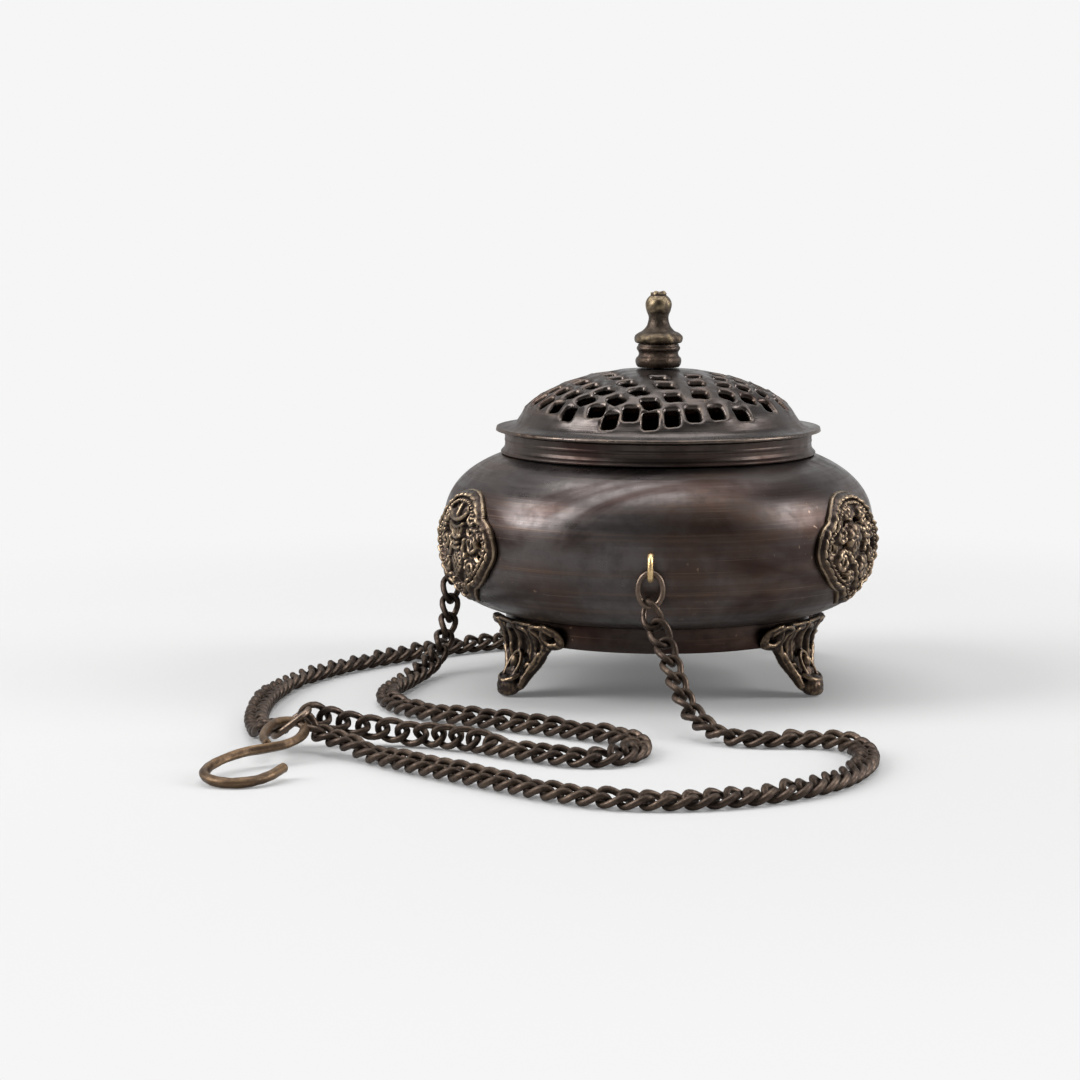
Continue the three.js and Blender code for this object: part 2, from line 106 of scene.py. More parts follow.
def evenly(line, step):
    s = arc_lengths(line)
    count = max(2, int(round(s[-1] / step)) + 1)
    return along(line, s, np.linspace(0, s[-1], count))


def unit(v):
    return v / np.maximum(1e-12, np.linalg.norm(v, axis=-1, keepdims=True))


def facing(azimuth):
    """The tangent and the outward direction at an azimuth counted from the front."""
    a = math.radians(azimuth)
    return np.array([math.cos(a), math.sin(a), 0.0]), np.array([math.sin(a), -math.cos(a), 0.0])


def noise3(points, scale, seed=0.0):
    """Smooth noise, about -1 to 1, at points in millimetres."""
    q = np.asarray(points, float) * scale + seed
    return np.array([noise.noise(v) for v in q.reshape(-1, 3)]).reshape(q.shape[:-1]) * 1.6


# ---- Meshes ----
def build(name, verts, faces, material, body, replaces=(), turn=None, wear=True, blend=None):
    """A piece from millimetre vertices, with a wear attribute that is high on its ridges."""
    mesh = bpy.data.meshes.new(name)
    mesh.from_pydata((np.asarray(verts, float) * MM).tolist(), [], faces)
    mesh.validate()
    mesh.update()
    mesh.polygons.foreach_set("use_smooth", np.ones(len(mesh.polygons), bool))
    if wear:
        add_wear(mesh)
    if turn is not None:
        attribute = mesh.attributes.new("turn", "FLOAT", "POINT")
        attribute.data.foreach_set("value", np.asarray(turn, np.float32))
    piece = bpy.data.objects.new(name, mesh)
    scene.collection.objects.link(piece)
    mesh.materials.append(material)
    if replaces:
        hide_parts(*replaces)
    if blend:
        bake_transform(piece)
    else:
        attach(piece, body)
    return piece


def add_wear(mesh, passes=3):
    """Mean curvature of the surface as a point attribute: about 0.5 where flat, 1 on ridges, 0 in hollows."""
    n = len(mesh.vertices)
    co = np.zeros(n * 3, np.float32)
    no = np.zeros(n * 3, np.float32)
    mesh.vertices.foreach_get("co", co)
    mesh.vertex_normals.foreach_get("vector", no)
    co = co.reshape(-1, 3).astype(float) / MM
    no = no.reshape(-1, 3).astype(float)
    edges = np.zeros(len(mesh.edges) * 2, np.int32)
    mesh.edges.foreach_get("vertices", edges)
    a, b = edges.reshape(-1, 2).T
    degree = np.maximum(1, np.bincount(a, minlength=n) + np.bincount(b, minlength=n))

    def mean_of_neighbours(values):
        return (np.bincount(a, values[b], n) + np.bincount(b, values[a], n)) / degree

    span = np.linalg.norm(co[a] - co[b], axis=1)
    size2 = (np.bincount(a, span**2, n) + np.bincount(b, span**2, n)) / degree
    lap = np.stack([mean_of_neighbours(co[:, k]) for k in range(3)], -1) - co
    curve = -(lap * no).sum(1) / np.maximum(1e-6, size2)
    curve = np.clip(curve, -1.5, 1.5)
    for _ in range(passes):
        curve = 0.5 * curve + 0.5 * mean_of_neighbours(curve)
    attribute = mesh.attributes.new("wear", "FLOAT", "POINT")
    attribute.data.foreach_set("value", np.clip(0.5 + curve * 1.1, 0, 1).astype(np.float32))


def lathe(profile, count=192, closed=False):
    """Vertices, faces and profile lengths of a turned solid; the profile is listed anticlockwise."""
    profile = np.asarray(profile, float)
    s = arc_lengths(profile)
    verts, rings, turn = [], [], []
    angles = np.arange(count) * 2 * math.pi / count
    for (r, z), t in zip(profile, s):
        if r < 1e-6:
            rings.append([len(verts)])
            verts.append([0, 0, z])
            turn.append(t)
            continue
        rings.append(list(range(len(verts), len(verts) + count)))
        verts += [[r * math.cos(a), r * math.sin(a), z] for a in angles]
        turn += [t] * count
    if closed:
        rings.append(rings[0])
    faces = []
    for low, high in zip(rings, rings[1:]):
        for j in range(count):
            k = (j + 1) % count
            if len(low) == 1 and len(high) == 1:
                continue
            if len(low) == 1:
                faces.append((low[0], high[k], high[j]))
            elif len(high) == 1:
                faces.append((low[j], low[k], high[0]))
            else:
                faces.append((low[j], low[k], high[k], high[j]))
    return np.array(verts), faces, np.array(turn)


def rounded(points, radius=0.35, closed=True, steps=4):
    """A polygon's corners rounded off, for the section of a turned piece."""
    p = np.asarray(points, float)
    n = len(p)
    out = []
    for i in range(n):
        if not closed and i in (0, n - 1):
            out.append(p[i])
            continue
        a, b, c = p[i - 1], p[i], p[(i + 1) % n]
        ra = min(radius, 0.45 * np.linalg.norm(a - b))
        rc = min(radius, 0.45 * np.linalg.norm(c - b))
        start, end = b + unit(a - b) * ra, b + unit(c - b) * rc
        for k in range(steps + 1):
            t = k / steps
            out.append((1 - t) ** 2 * start + 2 * t * (1 - t) * b + t**2 * end)
    return np.array(out)


def densely(profile, step, closed=False):
    """Points added along a profile's long straight stretches."""
    p = list(np.asarray(profile, float))
    if closed:
        p.append(p[0])
    out = []
    for a, b in zip(p, p[1:]):
        count = max(1, int(np.linalg.norm(b - a) / step))
        out += [a + (b - a) * k / count for k in range(count)]
    if not closed:
        out.append(p[-1])
    return np.array(out)


def tube(line, radius, sides=16, closed=False, section=None, start=None):
    """A wire along a line; radius may change along it, and section may shape it."""
    line = np.asarray(line, float)
    n = len(line)
    if closed:
        tangents = unit(np.roll(line, -1, 0) - np.roll(line, 1, 0))
    else:
        tangents = unit(np.gradient(line, axis=0))
    radius = np.broadcast_to(radius, (n,)).astype(float)
    normal = np.cross(tangents[0], UP if abs(tangents[0][2]) < 0.9 else [1, 0, 0]) if start is None else np.array(start)
    normals = []
    for t in tangents:
        normal = unit(normal - t * (normal @ t))
        normals.append(normal)
    normals = np.array(normals)
    binormals = np.cross(tangents, normals)
    if closed:
        # the carried normal comes back turned by a little: spread that turn round the ring
        last = unit(normals[-1] - tangents[0] * (normals[-1] @ tangents[0]))
        off = math.atan2(last @ binormals[0], last @ normals[0])
        turn = -off * np.arange(n) / n
        normals, binormals = (
            normals * np.cos(turn)[:, None] + binormals * np.sin(turn)[:, None],
            binormals * np.cos(turn)[:, None] - normals * np.sin(turn)[:, None],
        )
    angles = np.arange(sides) * 2 * math.pi / sides
    shape = np.ones((n, sides)) if section is None else section(np.linspace(0, 1, n)[:, None], angles[None, :])
    reach = radius[:, None, None] * shape[..., None]
    verts = line[:, None] + reach * (
        np.cos(angles)[None, :, None] * normals[:, None] + np.sin(angles)[None, :, None] * binormals[:, None]
    )
    verts = verts.reshape(-1, 3)
    faces = []
    for i in range(n if closed else n - 1):
        for j in range(sides):
            k, m = (j + 1) % sides, (i + 1) % n
            faces.append((i * sides + j, i * sides + k, m * sides + k, m * sides + j))
    if not closed:
        dome = radius[[0, -1]] * 0.35
        verts = np.vstack([verts, line[0] - tangents[0] * dome[0], line[-1] + tangents[-1] * dome[1]])
        for j in range(sides):
            k = (j + 1) % sides
            faces.append((n * sides, k, j))
            faces.append((n * sides + 1, (n - 1) * sides + j, (n - 1) * sides + k))
    return verts, faces


def joined(parts):
    verts, faces = [], []
    for v, f in parts:
        base = sum(len(x) for x in verts)
        verts.append(np.asarray(v))
        faces += [tuple(i + base for i in face) for face in f]
    return np.vstack(verts), faces


def oval(wide, tall, count=72):
    """An oval centreline in its own plane: two half rounds joined by straights."""
    a = np.arange(count) * 2 * math.pi / count
    x, y = wide / 2 * np.cos(a), wide / 2 * np.sin(a)
    return x, y + (tall - wide) / 2 * np.clip(y, -1, 1)


def level_mesh(xs, ys, field, top, bottom):
    """A closed plate over the part of a grid where field is positive: its edge is cut where the field
    is zero. top and bottom give the two surfaces at points of the grid's plane."""
    nx, ny = len(xs), len(ys)
    f = np.where(np.abs(field) < 1e-4, 1e-4, field)
    points, index = [], {}

    def corner(i, j):
        key = (i, j)
        if key not in index:
            index[key] = len(points)
            points.append((xs[i], ys[j]))
        return index[key]

    def crossing(p, q):
        key = (p, q) if p < q else (q, p)
        if key not in index:
            (i, j), (k, m) = key
            t = f[i, j] / (f[i, j] - f[k, m])
            t = min(0.93, max(0.07, t))
            index[key] = len(points)
            points.append((xs[i] + (xs[k] - xs[i]) * t, ys[j] + (ys[m] - ys[j]) * t))
        return index[key]

    polygons = []
    for i in range(nx - 1):
        for j in range(ny - 1):
            square = [(i, j), (i + 1, j), (i + 1, j + 1), (i, j + 1)]
            inside = [f[c] > 0 for c in square]
            if not any(inside):
                continue
            if all(inside):
                polygons.append(tuple(corner(*c) for c in square))
                continue
            for tri in ((0, 1, 2), (0, 2, 3)):
                loop = []
                for n in range(3):
                    a, b = square[tri[n]], square[tri[(n + 1) % 3]]
                    if f[a] > 0:
                        loop.append(corner(*a))
                    if (f[a] > 0) != (f[b] > 0):
                        loop.append(crossing(a, b))
                if len(loop) > 2:
                    polygons.append(tuple(loop))
    points = np.array(points)
    n = len(points)
    edges = {}
    for loop in polygons:
        for a, b in zip(loop, loop[1:] + loop[:1]):
            edges[(a, b)] = True
    faces = list(polygons) + [tuple(i + n for i in reversed(loop)) for loop in polygons]
    for a, b in edges:
        if (b, a) not in edges:
            faces.append((b, a, a + n, b + n))
    return np.vstack([top(points), bottom(points)]), faces, points


# ---- Camera ----
camera_data = bpy.data.cameras.new("camera")
camera = bpy.data.objects.new("camera", camera_data)
scene.collection.objects.link(camera)
camera.location = (-0.03564, -0.85, 0.1511)
camera.rotation_euler = (math.pi / 2 - 0.1265, 0, 0)
camera_data.lens = 94.07
camera_data.sensor_width = 36
camera_data.clip_start, camera_data.clip_end = 0.05, 50
scene.camera = camera


# ---- Materials ----
class Nodes:
    """Short calls for a material's node tree."""

    def __init__(self, name):
        self.material = bpy.data.materials.new(name)
        self.material.use_nodes = True
        self.tree = self.material.node_tree
        self.shader = self.tree.nodes["Principled BSDF"]
        self.place = self.add("ShaderNodeTexCoord").outputs["Object"]

    def add(self, kind, **values):
        node = self.tree.nodes.new(kind)
        for key, value in values.items():
            setattr(node, key, value)
        return node

    def link(self, value, socket):
        if hasattr(value, "links"):
            self.tree.links.new(value, socket)
        else:
            socket.default_value = value

    def attribute(self, name):
        return self.add("ShaderNodeAttribute", attribute_name=name).outputs["Fac"]

    def stretched(self, scale):
        node = self.add("ShaderNodeMapping")
        self.link(self.place, node.inputs["Vector"])
        node.inputs["Scale"].default_value = scale
        return node.outputs["Vector"]

    def noise(self, scale, detail=4.0, roughness=0.55, vector=None, distortion=0.0):
        node = self.add("ShaderNodeTexNoise")
        self.link(self.place if vector is None else vector, node.inputs["Vector"])
        node.inputs["Scale"].default_value = scale
        node.inputs["Detail"].default_value = detail
        node.inputs["Roughness"].default_value = roughness
        node.inputs["Distortion"].default_value = distortion
        return node.outputs["Fac"]

    def ramp(self, value, low, high, a=0.0, b=1.0):
        node = self.add("ShaderNodeMapRange", interpolation_type="SMOOTHSTEP")
        self.link(value, node.inputs["Value"])
        for socket, number in zip(("From Min", "From Max", "To Min", "To Max"), (low, high, a, b)):
            node.inputs[socket].default_value = number
        return node.outputs["Result"]

    def math(self, operation, a, b=0.0, c=0.0, clamp=False):
        node = self.add("ShaderNodeMath", operation=operation, use_clamp=clamp)
        for value, socket in zip((a, b, c), node.inputs):
            self.link(value, socket)
        return node.outputs[0]

    def mix(self, share, a, b, kind="MIX"):
        node = self.add("ShaderNodeMix", data_type="RGBA", blend_type=kind)
        self.link(share, node.inputs["Factor"])
        self.link(a if hasattr(a, "links") else (*a, 1), node.inputs["A"])
        self.link(b if hasattr(b, "links") else (*b, 1), node.inputs["B"])
        return node.outputs["Result"]

    def combine(self, x, y, z):
        node = self.add("ShaderNodeCombineXYZ")
        for value, socket in zip((x, y, z), node.inputs):
            self.link(value, socket)
        return node.outputs[0]

    def separate(self):
        node = self.add("ShaderNodeSeparateXYZ")
        self.link(self.place, node.inputs[0])
        return node.outputs

    def finish(self, color, roughness, height, strength, distance, metallic=1.0):
        self.link(color, self.shader.inputs["Base Color"])
        self.link(roughness, self.shader.inputs["Roughness"])
        self.shader.inputs["Metallic"].default_value = metallic
        bump = self.add("ShaderNodeBump")
        bump.inputs["Strength"].default_value = strength
        bump.inputs["Distance"].default_value = distance
        self.link(height, bump.inputs["Height"])
        self.link(bump.outputs["Normal"], self.shader.inputs["Normal"])
        return self.material


def turned_patina(name, dark, warm, worn, rough=0.32, wear=0.6, copper=0.1, streaks=0.12):
    """Dark patina on turned sheet: brown clouds, fine rings left by the lathe, copper specks."""
    m = Nodes(name)
    x, y, _ = m.separate()
    turn = m.attribute("turn")
    rings = m.combine(m.math("MULTIPLY", x, 14), m.math("MULTIPLY", y, 14), m.math("MULTIPLY", turn, 2600))
    long_rings = m.combine(m.math("MULTIPLY", x, 5), m.math("MULTIPLY", y, 5), m.math("MULTIPLY", turn, 420))
    fine = m.noise(1.0, 3, 0.6, rings)
    broad = m.noise(1.0, 4, 0.6, long_rings)
    clouds = m.noise(17, 5, 0.6, distortion=0.4)
    mottle = m.noise(230, 4, 0.6)
    specks = m.noise(620, 2, 0.5)
    share = m.math("ADD", m.math("MULTIPLY", clouds, 0.75), m.math("MULTIPLY", broad, 0.25))
    color = m.mix(m.ramp(share, 0.44, 0.62), dark, warm)
    color = m.mix(m.ramp(mottle, 0.42, 0.66, 0, 0.4), color, [c * 0.55 for c in dark])
    color = m.mix(m.ramp(broad, 0.58, 0.72, 0, copper), color, worn)
    smears = m.combine(m.math("MULTIPLY", x, 16), m.math("MULTIPLY", y, 16), m.math("MULTIPLY", turn, 34))
    gloom = m.noise(1.0, 4, 0.55, smears, distortion=0.8)
    color = m.mix(m.ramp(gloom, 0.46, 0.62, 0, 0.78), color, (0.022, 0.011, 0.009))
    scratch = m.math("MULTIPLY", m.ramp(fine, 0.6, 0.72), m.ramp(clouds, 0.4, 0.6, 0.15, 1))
    color = m.mix(m.math("MULTIPLY", scratch, streaks), color, worn)
    speck = m.math("MULTIPLY", m.ramp(specks, 0.68, 0.74), m.ramp(m.noise(40, 3), 0.54, 0.66))
    color = m.mix(m.math("MULTIPLY", speck, 0.6), color, worn)
    # ridges take the lighter rubbed colour: wear, and on the lid, whose rub colour is grey, also a painted highlight
    # along the strands' crests
    edge = m.math("MULTIPLY", m.ramp(m.attribute("wear"), 0.62, 0.9), m.ramp(mottle, 0.4, 0.7, 0.2, 1))
    color = m.mix(m.math("MULTIPLY", edge, wear), color, [min(1, c * 1.6) for c in worn])
    grain = m.math("ADD", m.ramp(mottle, 0.4, 0.7, 0, 0.1), m.ramp(broad, 0.42, 0.62, 0, 0.07))
    roughness = m.math("ADD", m.ramp(clouds, 0.35, 0.65, rough - 0.05, rough + 0.08), grain)
    height = m.math("ADD", m.math("MULTIPLY", fine, 0.35), m.math("MULTIPLY", mottle, 0.5))
    height = m.math("ADD", height, m.math("MULTIPLY", broad, 0.9))
    return m.finish(color, roughness, height, 0.55, 0.00011)


def cast_patina(name, dark, warm, worn, rough=0.42, wear=0.9, low=0.56, high=0.8, grain=420, bump=0.0002, hollow=0.5):
    """Patina on a casting: black in the hollows, gold-brown where the ridges are rubbed."""
    m = Nodes(name)
    clouds = m.noise(60, 4, 0.6)
    mottle = m.noise(grain, 4, 0.62)
    color = m.mix(m.ramp(clouds, 0.4, 0.62), dark, warm)
    color = m.mix(m.ramp(mottle, 0.4, 0.68, 0, 0.5), color, [c * 0.5 for c in dark])
    relief = m.attribute("wear")
    deep = m.ramp(relief, 0.5, 0.22, 0, hollow)
    color = m.mix(deep, color, [c * 0.16 for c in dark])
    rub = m.math("MULTIPLY", m.ramp(relief, low, high), m.ramp(m.noise(130, 3), 0.3, 0.62, 0.25, 1))
    color = m.mix(m.math("MULTIPLY", rub, wear), color, worn)
    roughness = m.math("ADD", m.ramp(mottle, 0.35, 0.7, rough - 0.08, rough + 0.14), m.math("MULTIPLY", deep, 0.3), clamp=True)
    height = m.math("ADD", m.math("MULTIPLY", mottle, 1.0), m.math("MULTIPLY", m.noise(1500, 2), 0.3))
    return m.finish(color, roughness, height, 0.6, bump)


BOWL = turned_patina(
    "patina_bowl", (0.09, 0.08, 0.078), (0.066, 0.044, 0.035), (0.24, 0.165, 0.125), rough=0.3, wear=0.4, copper=0.16, streaks=0.3
)
# the lid's grey rub colour and its edge share are partly wear and partly a painted highlight on the strands' crests
LID = turned_patina(
    "patina_lid", (0.062, 0.054, 0.051), (0.068, 0.049, 0.041), (0.27, 0.2, 0.15), rough=0.28, wear=0.22, copper=0.12, streaks=0.14
)
NECK = turned_patina("patina_neck", (0.05, 0.04, 0.036), (0.056, 0.034, 0.026), (0.24, 0.15, 0.10), rough=0.33, wear=0.35, copper=0.2, streaks=0.3)
CAST = cast_patina("patina_cast", (0.042, 0.032, 0.028), (0.07, 0.048, 0.036), (0.38, 0.285, 0.19), rough=0.38, wear=0.72, low=0.54, high=0.82)
FOOT = cast_patina("patina_foot", (0.04, 0.031, 0.027), (0.072, 0.05, 0.038), (0.3, 0.215, 0.135), rough=0.38, wear=0.6, low=0.58, high=0.86)
KNOB = cast_patina(
    "patina_knob", (0.05, 0.038, 0.03), (0.105, 0.078, 0.052), (0.36, 0.28, 0.17), rough=0.46, wear=0.7, low=0.54, high=0.76, grain=520,
    bump=0.0005,
)
DRUM = cast_patina(
    "patina_drum", (0.04, 0.03, 0.026), (0.07, 0.05, 0.038), (0.26, 0.19, 0.12), rough=0.46, wear=0.5, grain=520, bump=0.0005
)
EYE = cast_patina("bright_brass", (0.5, 0.33, 0.14), (0.7, 0.5, 0.24), (0.8, 0.6, 0.34), rough=0.4, hollow=0.2, grain=900, bump=0.00015)
CHAIN = cast_patina(
    "patina_chain", (0.085, 0.062, 0.05), (0.135, 0.098, 0.074), (0.23, 0.17, 0.13), rough=0.4, wear=0.45, grain=900, bump=0.0001, hollow=0.6
)
HOOK = cast_patina(
    "patina_hook", (0.055, 0.037, 0.026), (0.105, 0.068, 0.043), (0.22, 0.145, 0.085), rough=0.5, wear=0.6, grain=420, bump=0.00035, hollow=0.6
)
PAN = turned_patina("heated_copper", (0.2, 0.1, 0.06), (0.32, 0.16, 0.1), (0.6, 0.33, 0.2), rough=0.5)

# ---- Chains ----
LINK_LONG, LINK_WIDE, LINK_WIRE_R = 3.95, 2.6, 0.93  # half length and half width of the wire's line
LINK_PITCH, HANG_PITCH, HANG_STRETCH = 5.3, 5.95, 52.0
CHAIN_ROUTES = {
    "front": [
        (-4.7, -67.2, 31.2), (-3, -68.6, 27.4), (-1.2, -70.8, 23.4), (0.2, -73.8, 19.6), (1.6, -77.8, 15.4),
        (3.6, -83.4, 10.4), (6.2, -88.8, 6.4), (9.6, -94.4, 4), (14, -99.6, 2.6), (20, -103, 2.6),
        (27, -104, 2.6), (34.5, -103.8, 2.6), (41.5, -105.6, 2.6), (46.8, -111, 2.6), (49.4, -119, 2.6),
        (49.2, -130, 2.6), (45.8, -142.5, 2.6), (39.8, -154.5, 2.6), (31, -165, 2.6), (20, -172.8, 2.6),
        (7, -178.4, 2.6), (-7, -180.4, 2.6), (-20, -177.8, 2.6), (-32, -170.4, 2.6), (-45, -159, 2.6),
        (-58, -147, 2.6), (-70, -135, 2.6), (-78.6, -125, 2.8), (-85.2, -118, 3.8), (-90.4, -113.4, 4.5),
        (-94.4, -110.2, 5.4),
    ],
    "back_left": [
        (-62.5, 25.2, 31.2), (-63.3, 24.3, 27), (-63.7, 23, 22), (-64, 21, 17), (-64.8, 18, 12.6),
        (-66.2, 13.8, 8.6), (-68.2, 8.8, 5.4), (-70.6, 2, 3.8), (-73.8, -7, 2.6), (-76.9, -18, 2.6),
        (-79.4, -29, 2.6), (-80, -40, 2.6), (-77.8, -50.6, 2.6), (-72.4, -60, 2.6), (-64.4, -67.8, 2.6),
        (-54.6, -75, 2.6), (-43, -82.2, 2.6), (-31, -89.4, 2.6), (-20.5, -96, 2.6), (-13, -103, 2.6),
        (-9.4, -112, 2.6), (-11, -122, 2.6), (-17.6, -129, 2.6), (-26.6, -129.2, 2.6), (-36, -123.6, 2.6),
        (-46.5, -116, 2.6), (-57.5, -109, 2.8), (-67.5, -104, 3.3), (-76, -102, 4.4), (-84, -102, 5.6),
        (-91.4, -102.4, 7.4),
    ],
    "back_right": [
        (53.1, 41.5, 31.2), (53.4, 42.2, 26.4), (53.2, 43.4, 20.4), (52.4, 45.4, 14), (50.4, 48.8, 8.4),
        (47, 53.4, 4.4), (41.6, 58.4, 2.8), (34, 62, 2.6), (24, 64.8, 2.6), (8, 66.4, 2.6),
        (-8, 66, 2.6), (-24, 63.6, 2.6), (-39, 59.6, 2.6), (-52, 54, 2.6), (-63, 47, 2.6),
        (-73, 38.6, 2.6), (-82, 29.4, 2.6), (-90.5, 19.6, 2.6), (-98.5, 8.6, 2.6), (-105.4, -4, 2.6),
        (-110.8, -18, 2.6), (-114, -34, 2.6), (-115.4, -50, 2.6), (-115.4, -66, 2.6), (-114.2, -80, 2.8),
        (-112.2, -91, 3.3), (-110.4, -98.4, 4.2),
    ],
}
# Where each chain's last link grips the gather ring.
CHAIN_ON_EDGE = {"back_left": 60.0}  # the length before the gather ring that stands on edge
CHAIN_FACES = {"front": (0.5, -0.85, 0.15), "back_left": (0.5, -0.85, 0.0)}  # where the hanging links face
CHAIN_ENDS = {"front": (-98.2, -109.3, 8.4), "back_left": (-98.0, -104.6, 9.6), "back_right": (-106.0, -104.2, 5.0)}


def link_template(around=26, sides=10):
    """One curb link about its own axes: along the chain, across it, and out of its flat."""
    a = np.arange(around) * 2 * math.pi / around
    power = 2 / 2.5
    x = np.sign(np.cos(a)) * np.abs(np.cos(a)) ** power
    y = np.sign(np.sin(a)) * np.abs(np.sin(a)) ** power
    twist = -math.radians(47) * x

    def point(px, py, t):
        return np.stack([LINK_LONG * px, LINK_WIDE * py * np.cos(t), LINK_WIDE * py * np.sin(t)], -1)

    line = point(x, y, twist)
    tangents = unit(np.roll(line, -1, 0) - np.roll(line, 1, 0))
    outward = np.stack([x / LINK_LONG, y * np.cos(twist) / LINK_WIDE, y * np.sin(twist) / LINK_WIDE], -1)
    outward = unit(outward - tangents * (outward * tangents).sum(1, keepdims=True))
    other = np.cross(tangents, outward)
    b = np.arange(sides) * 2 * math.pi / sides
    ring = np.cos(b)[None, :, None] * outward[:, None] + np.sin(b)[None, :, None] * other[:, None]
    verts = (line[:, None] + LINK_WIRE_R * ring).reshape(-1, 3)
    faces = []
    for i in range(around):
        m = (i + 1) % around
        for j in range(sides):
            k = (j + 1) % sides
            faces.append((i * sides + j, m * sides + j, m * sides + k, i * sides + k))
    return verts, faces


def chain(side, lean_seed):
    azimuth = EYES[side]
    tangent, outward = facing(azimuth)
    ring_bottom = outward * EYE_RING_R + UP * 32.6
    route = np.array(CHAIN_ROUTES[side] + [CHAIN_ENDS[side]])
    line = evenly(spline(np.vstack([ring_bottom, route])), 0.4)
    s = arc_lengths(line)
    tangents = unit(np.gradient(line, axis=0))
    lying = np.abs(tangents[:, 2]) < 0.35
    # across[i] is the flat's direction. Lying, the flat rests on the table. Hanging, it is carried up from
    # the first lying point and rolled to face its way, with a turn that sets the first link in its ring.
    side_way = unit(np.cross(tangents, UP))
    sway = np.array([noise.noise((t / 30.0, lean_seed, 0.4)) for t in s]) * 1.6
    lean = np.radians(16 * sway - 13 * np.clip(1.5 * tangents[:, 0], -1, 1))
    on_edge = CHAIN_ON_EDGE.get(side)
    if on_edge:
        lean += math.radians(72) * np.clip((s - s[-1] + on_edge) / 14, 0, 1)
    across = side_way * np.cos(lean)[:, None] + UP * np.sin(lean)[:, None]
    first = int(np.argmax(lying & (s > 20)))
    v = across[first]
    for i in range(first, -1, -1):
        v = unit(v - tangents[i] * (v @ tangents[i]))
        across[i] = v
    across = unit(across - tangents * (across * tangents).sum(1, keepdims=True))
    flat = np.cross(tangents, across)

    def rolled(angle):
        cos, sin = np.cos(angle)[:, None], np.sin(angle)[:, None]
        return across * cos + flat * sin, flat * cos - across * sin

    if side in CHAIN_FACES:
        way = np.array(CHAIN_FACES[side])
        mid = int(np.argmax(s > 22))
        roll = math.atan2(-(way @ across[mid]), way @ flat[mid])
        roll = (roll + math.pi / 2) % math.pi - math.pi / 2
        across, flat = rolled(roll * np.clip((58 - s) / 26, 0, 1))
    want = math.radians(47)  # the first link's upper end lies along the way out of the bowl
    now = math.atan2(outward @ flat[0], outward @ across[0])
    turn = (now - want + math.pi / 2) % math.pi - math.pi / 2
    across, flat = rolled(turn * np.clip(1 - s / 16, 0, 1) ** 1.3)
    # link places
    places, at = [], LINK_LONG - 1.7
    end = s[-1] - (LINK_LONG - 1.7)
    while at < end - 1:
        places.append(at)
        at += HANG_PITCH if at < HANG_STRETCH else LINK_PITCH
    places = np.array(places)
    places = places[0] + (places - places[0]) * (end - places[0]) / (places[-1] - places[0])
    template, template_faces = link_template()
    rng = np.random.default_rng(int(lean_seed * 10))
    verts, faces = [], []
    for n, p in enumerate(places):
        i = int(round(np.interp(p, s, np.arange(len(s)))))
        lo = along(line, s, np.array([max(0, p - 2.4)]))[0]
        hi = along(line, s, np.array([min(s[-1], p + 2.4)]))[0]
        t = unit(hi - lo)
        jitter = math.radians(rng.uniform(-7, 7)) if n else 0.0
        a = across[i] * math.cos(jitter) + flat[i] * math.sin(jitter)
        a = unit(a - t * (a @ t))
        b = np.cross(t, a)
        centre = along(line, s, np.array([p]))[0]
        v = centre + template @ np.array([t, a, b])
        low = v[:, 2].min()
        if centre[2] < 3.6:
            v[:, 2] += 0.12 - low
        elif low < 0.12:
            v[:, 2] += 0.12 - low
        faces += [tuple(q + len(verts) * len(template) for q in face) for face in template_faces]
        verts.append(v)
    verts = np.vstack(verts)
    piece = build(
        "curb_chain_" + side, verts, faces, CHAIN, None, ["chain_" + side],
        blend=("ring_" + side, "censer", (0, 0, 0.033), (0, 0, 0.0145)),
    )
    path = evenly(line, 3.0) * MM
    return s[-1]


# ---- Gather ring and hook ----
def gather_ring():
    x, y = oval(7.6, 11.5)
    line = RING_AT + y[:, None] * np.array([0.8, 0, 0.6]) + x[:, None] * np.array([0, 1.0, 0])
    verts, faces = tube(line, 0.95, 14, closed=True)
    return build("gather_oval", verts, faces, CHAIN, "censer", ["gather_ring"])


HOOK_LINE = [
    (-107, -124.2), (-108.5, -119), (-107.9, -111.6), (-105.4, -106.4), (-100.6, -106.2), (-98.3, -111.4),
    (-98.9, -119.4), (-102.2, -125.2), (-106.6, -128.2), (-112, -131.4), (-116.9, -137), (-120.2, -144),
    (-120.4, -150), (-117.6, -154.2), (-113, -155.9), (-108, -154.6), (-104, -150.4), (-101, -144),
]


def s_hook():
    points = [(x, y, HOOK_TILT_Z + HOOK_SLOPE * (y - HOOK_TILT_Y)) for x, y in HOOK_LINE]
    line = evenly(spline(points), 0.35)
    n = len(line)
    t = np.linspace(0, 1, n)
    radius = 1.3 * (1 - 0.18 * np.exp(-((t / 0.06) ** 2))) * (1 + 0.03 * np.sin(t * 61) * np.sin(t * 23))

    def section(u, a):
        square = 1 / (np.abs(np.cos(a - 0.5)) ** 5 + np.abs(np.sin(a - 0.5)) ** 5) ** 0.2
        flatness = np.exp(-(((u - 0.52) / 0.2) ** 2)) * 0.8 + 0.25
        hammer = 0.035 * np.sin(u * 150 + 3 * np.cos(a)) * np.sin(a * 2 + u * 37) * (u > 0.6)
        return 1 + (square - 1.08) * flatness + hammer

    verts, faces = tube(line, radius, 20, section=section, start=(0, 0, 1))
    return build("hanging_s_hook", verts, faces, HOOK, "hook", ["s_hook"])


gather = gather_ring()
hook = s_hook()
chain_lengths = {side: chain(side, seed) for side, seed in (("front", 1.3), ("back_left", 4.1), ("back_right", 7.7))}


# ---- Chain eyes and jump rings ----
SPLIT_PIN = [
    (60.2, 6.4), (60.6, 3.4), (61.4, 1.4), (62.8, 1), (64.7, 1), (65.6, 1.5), (66.2, 2.6), (67.4, 3.3),
    (69, 2.5), (69.8, 0),
]

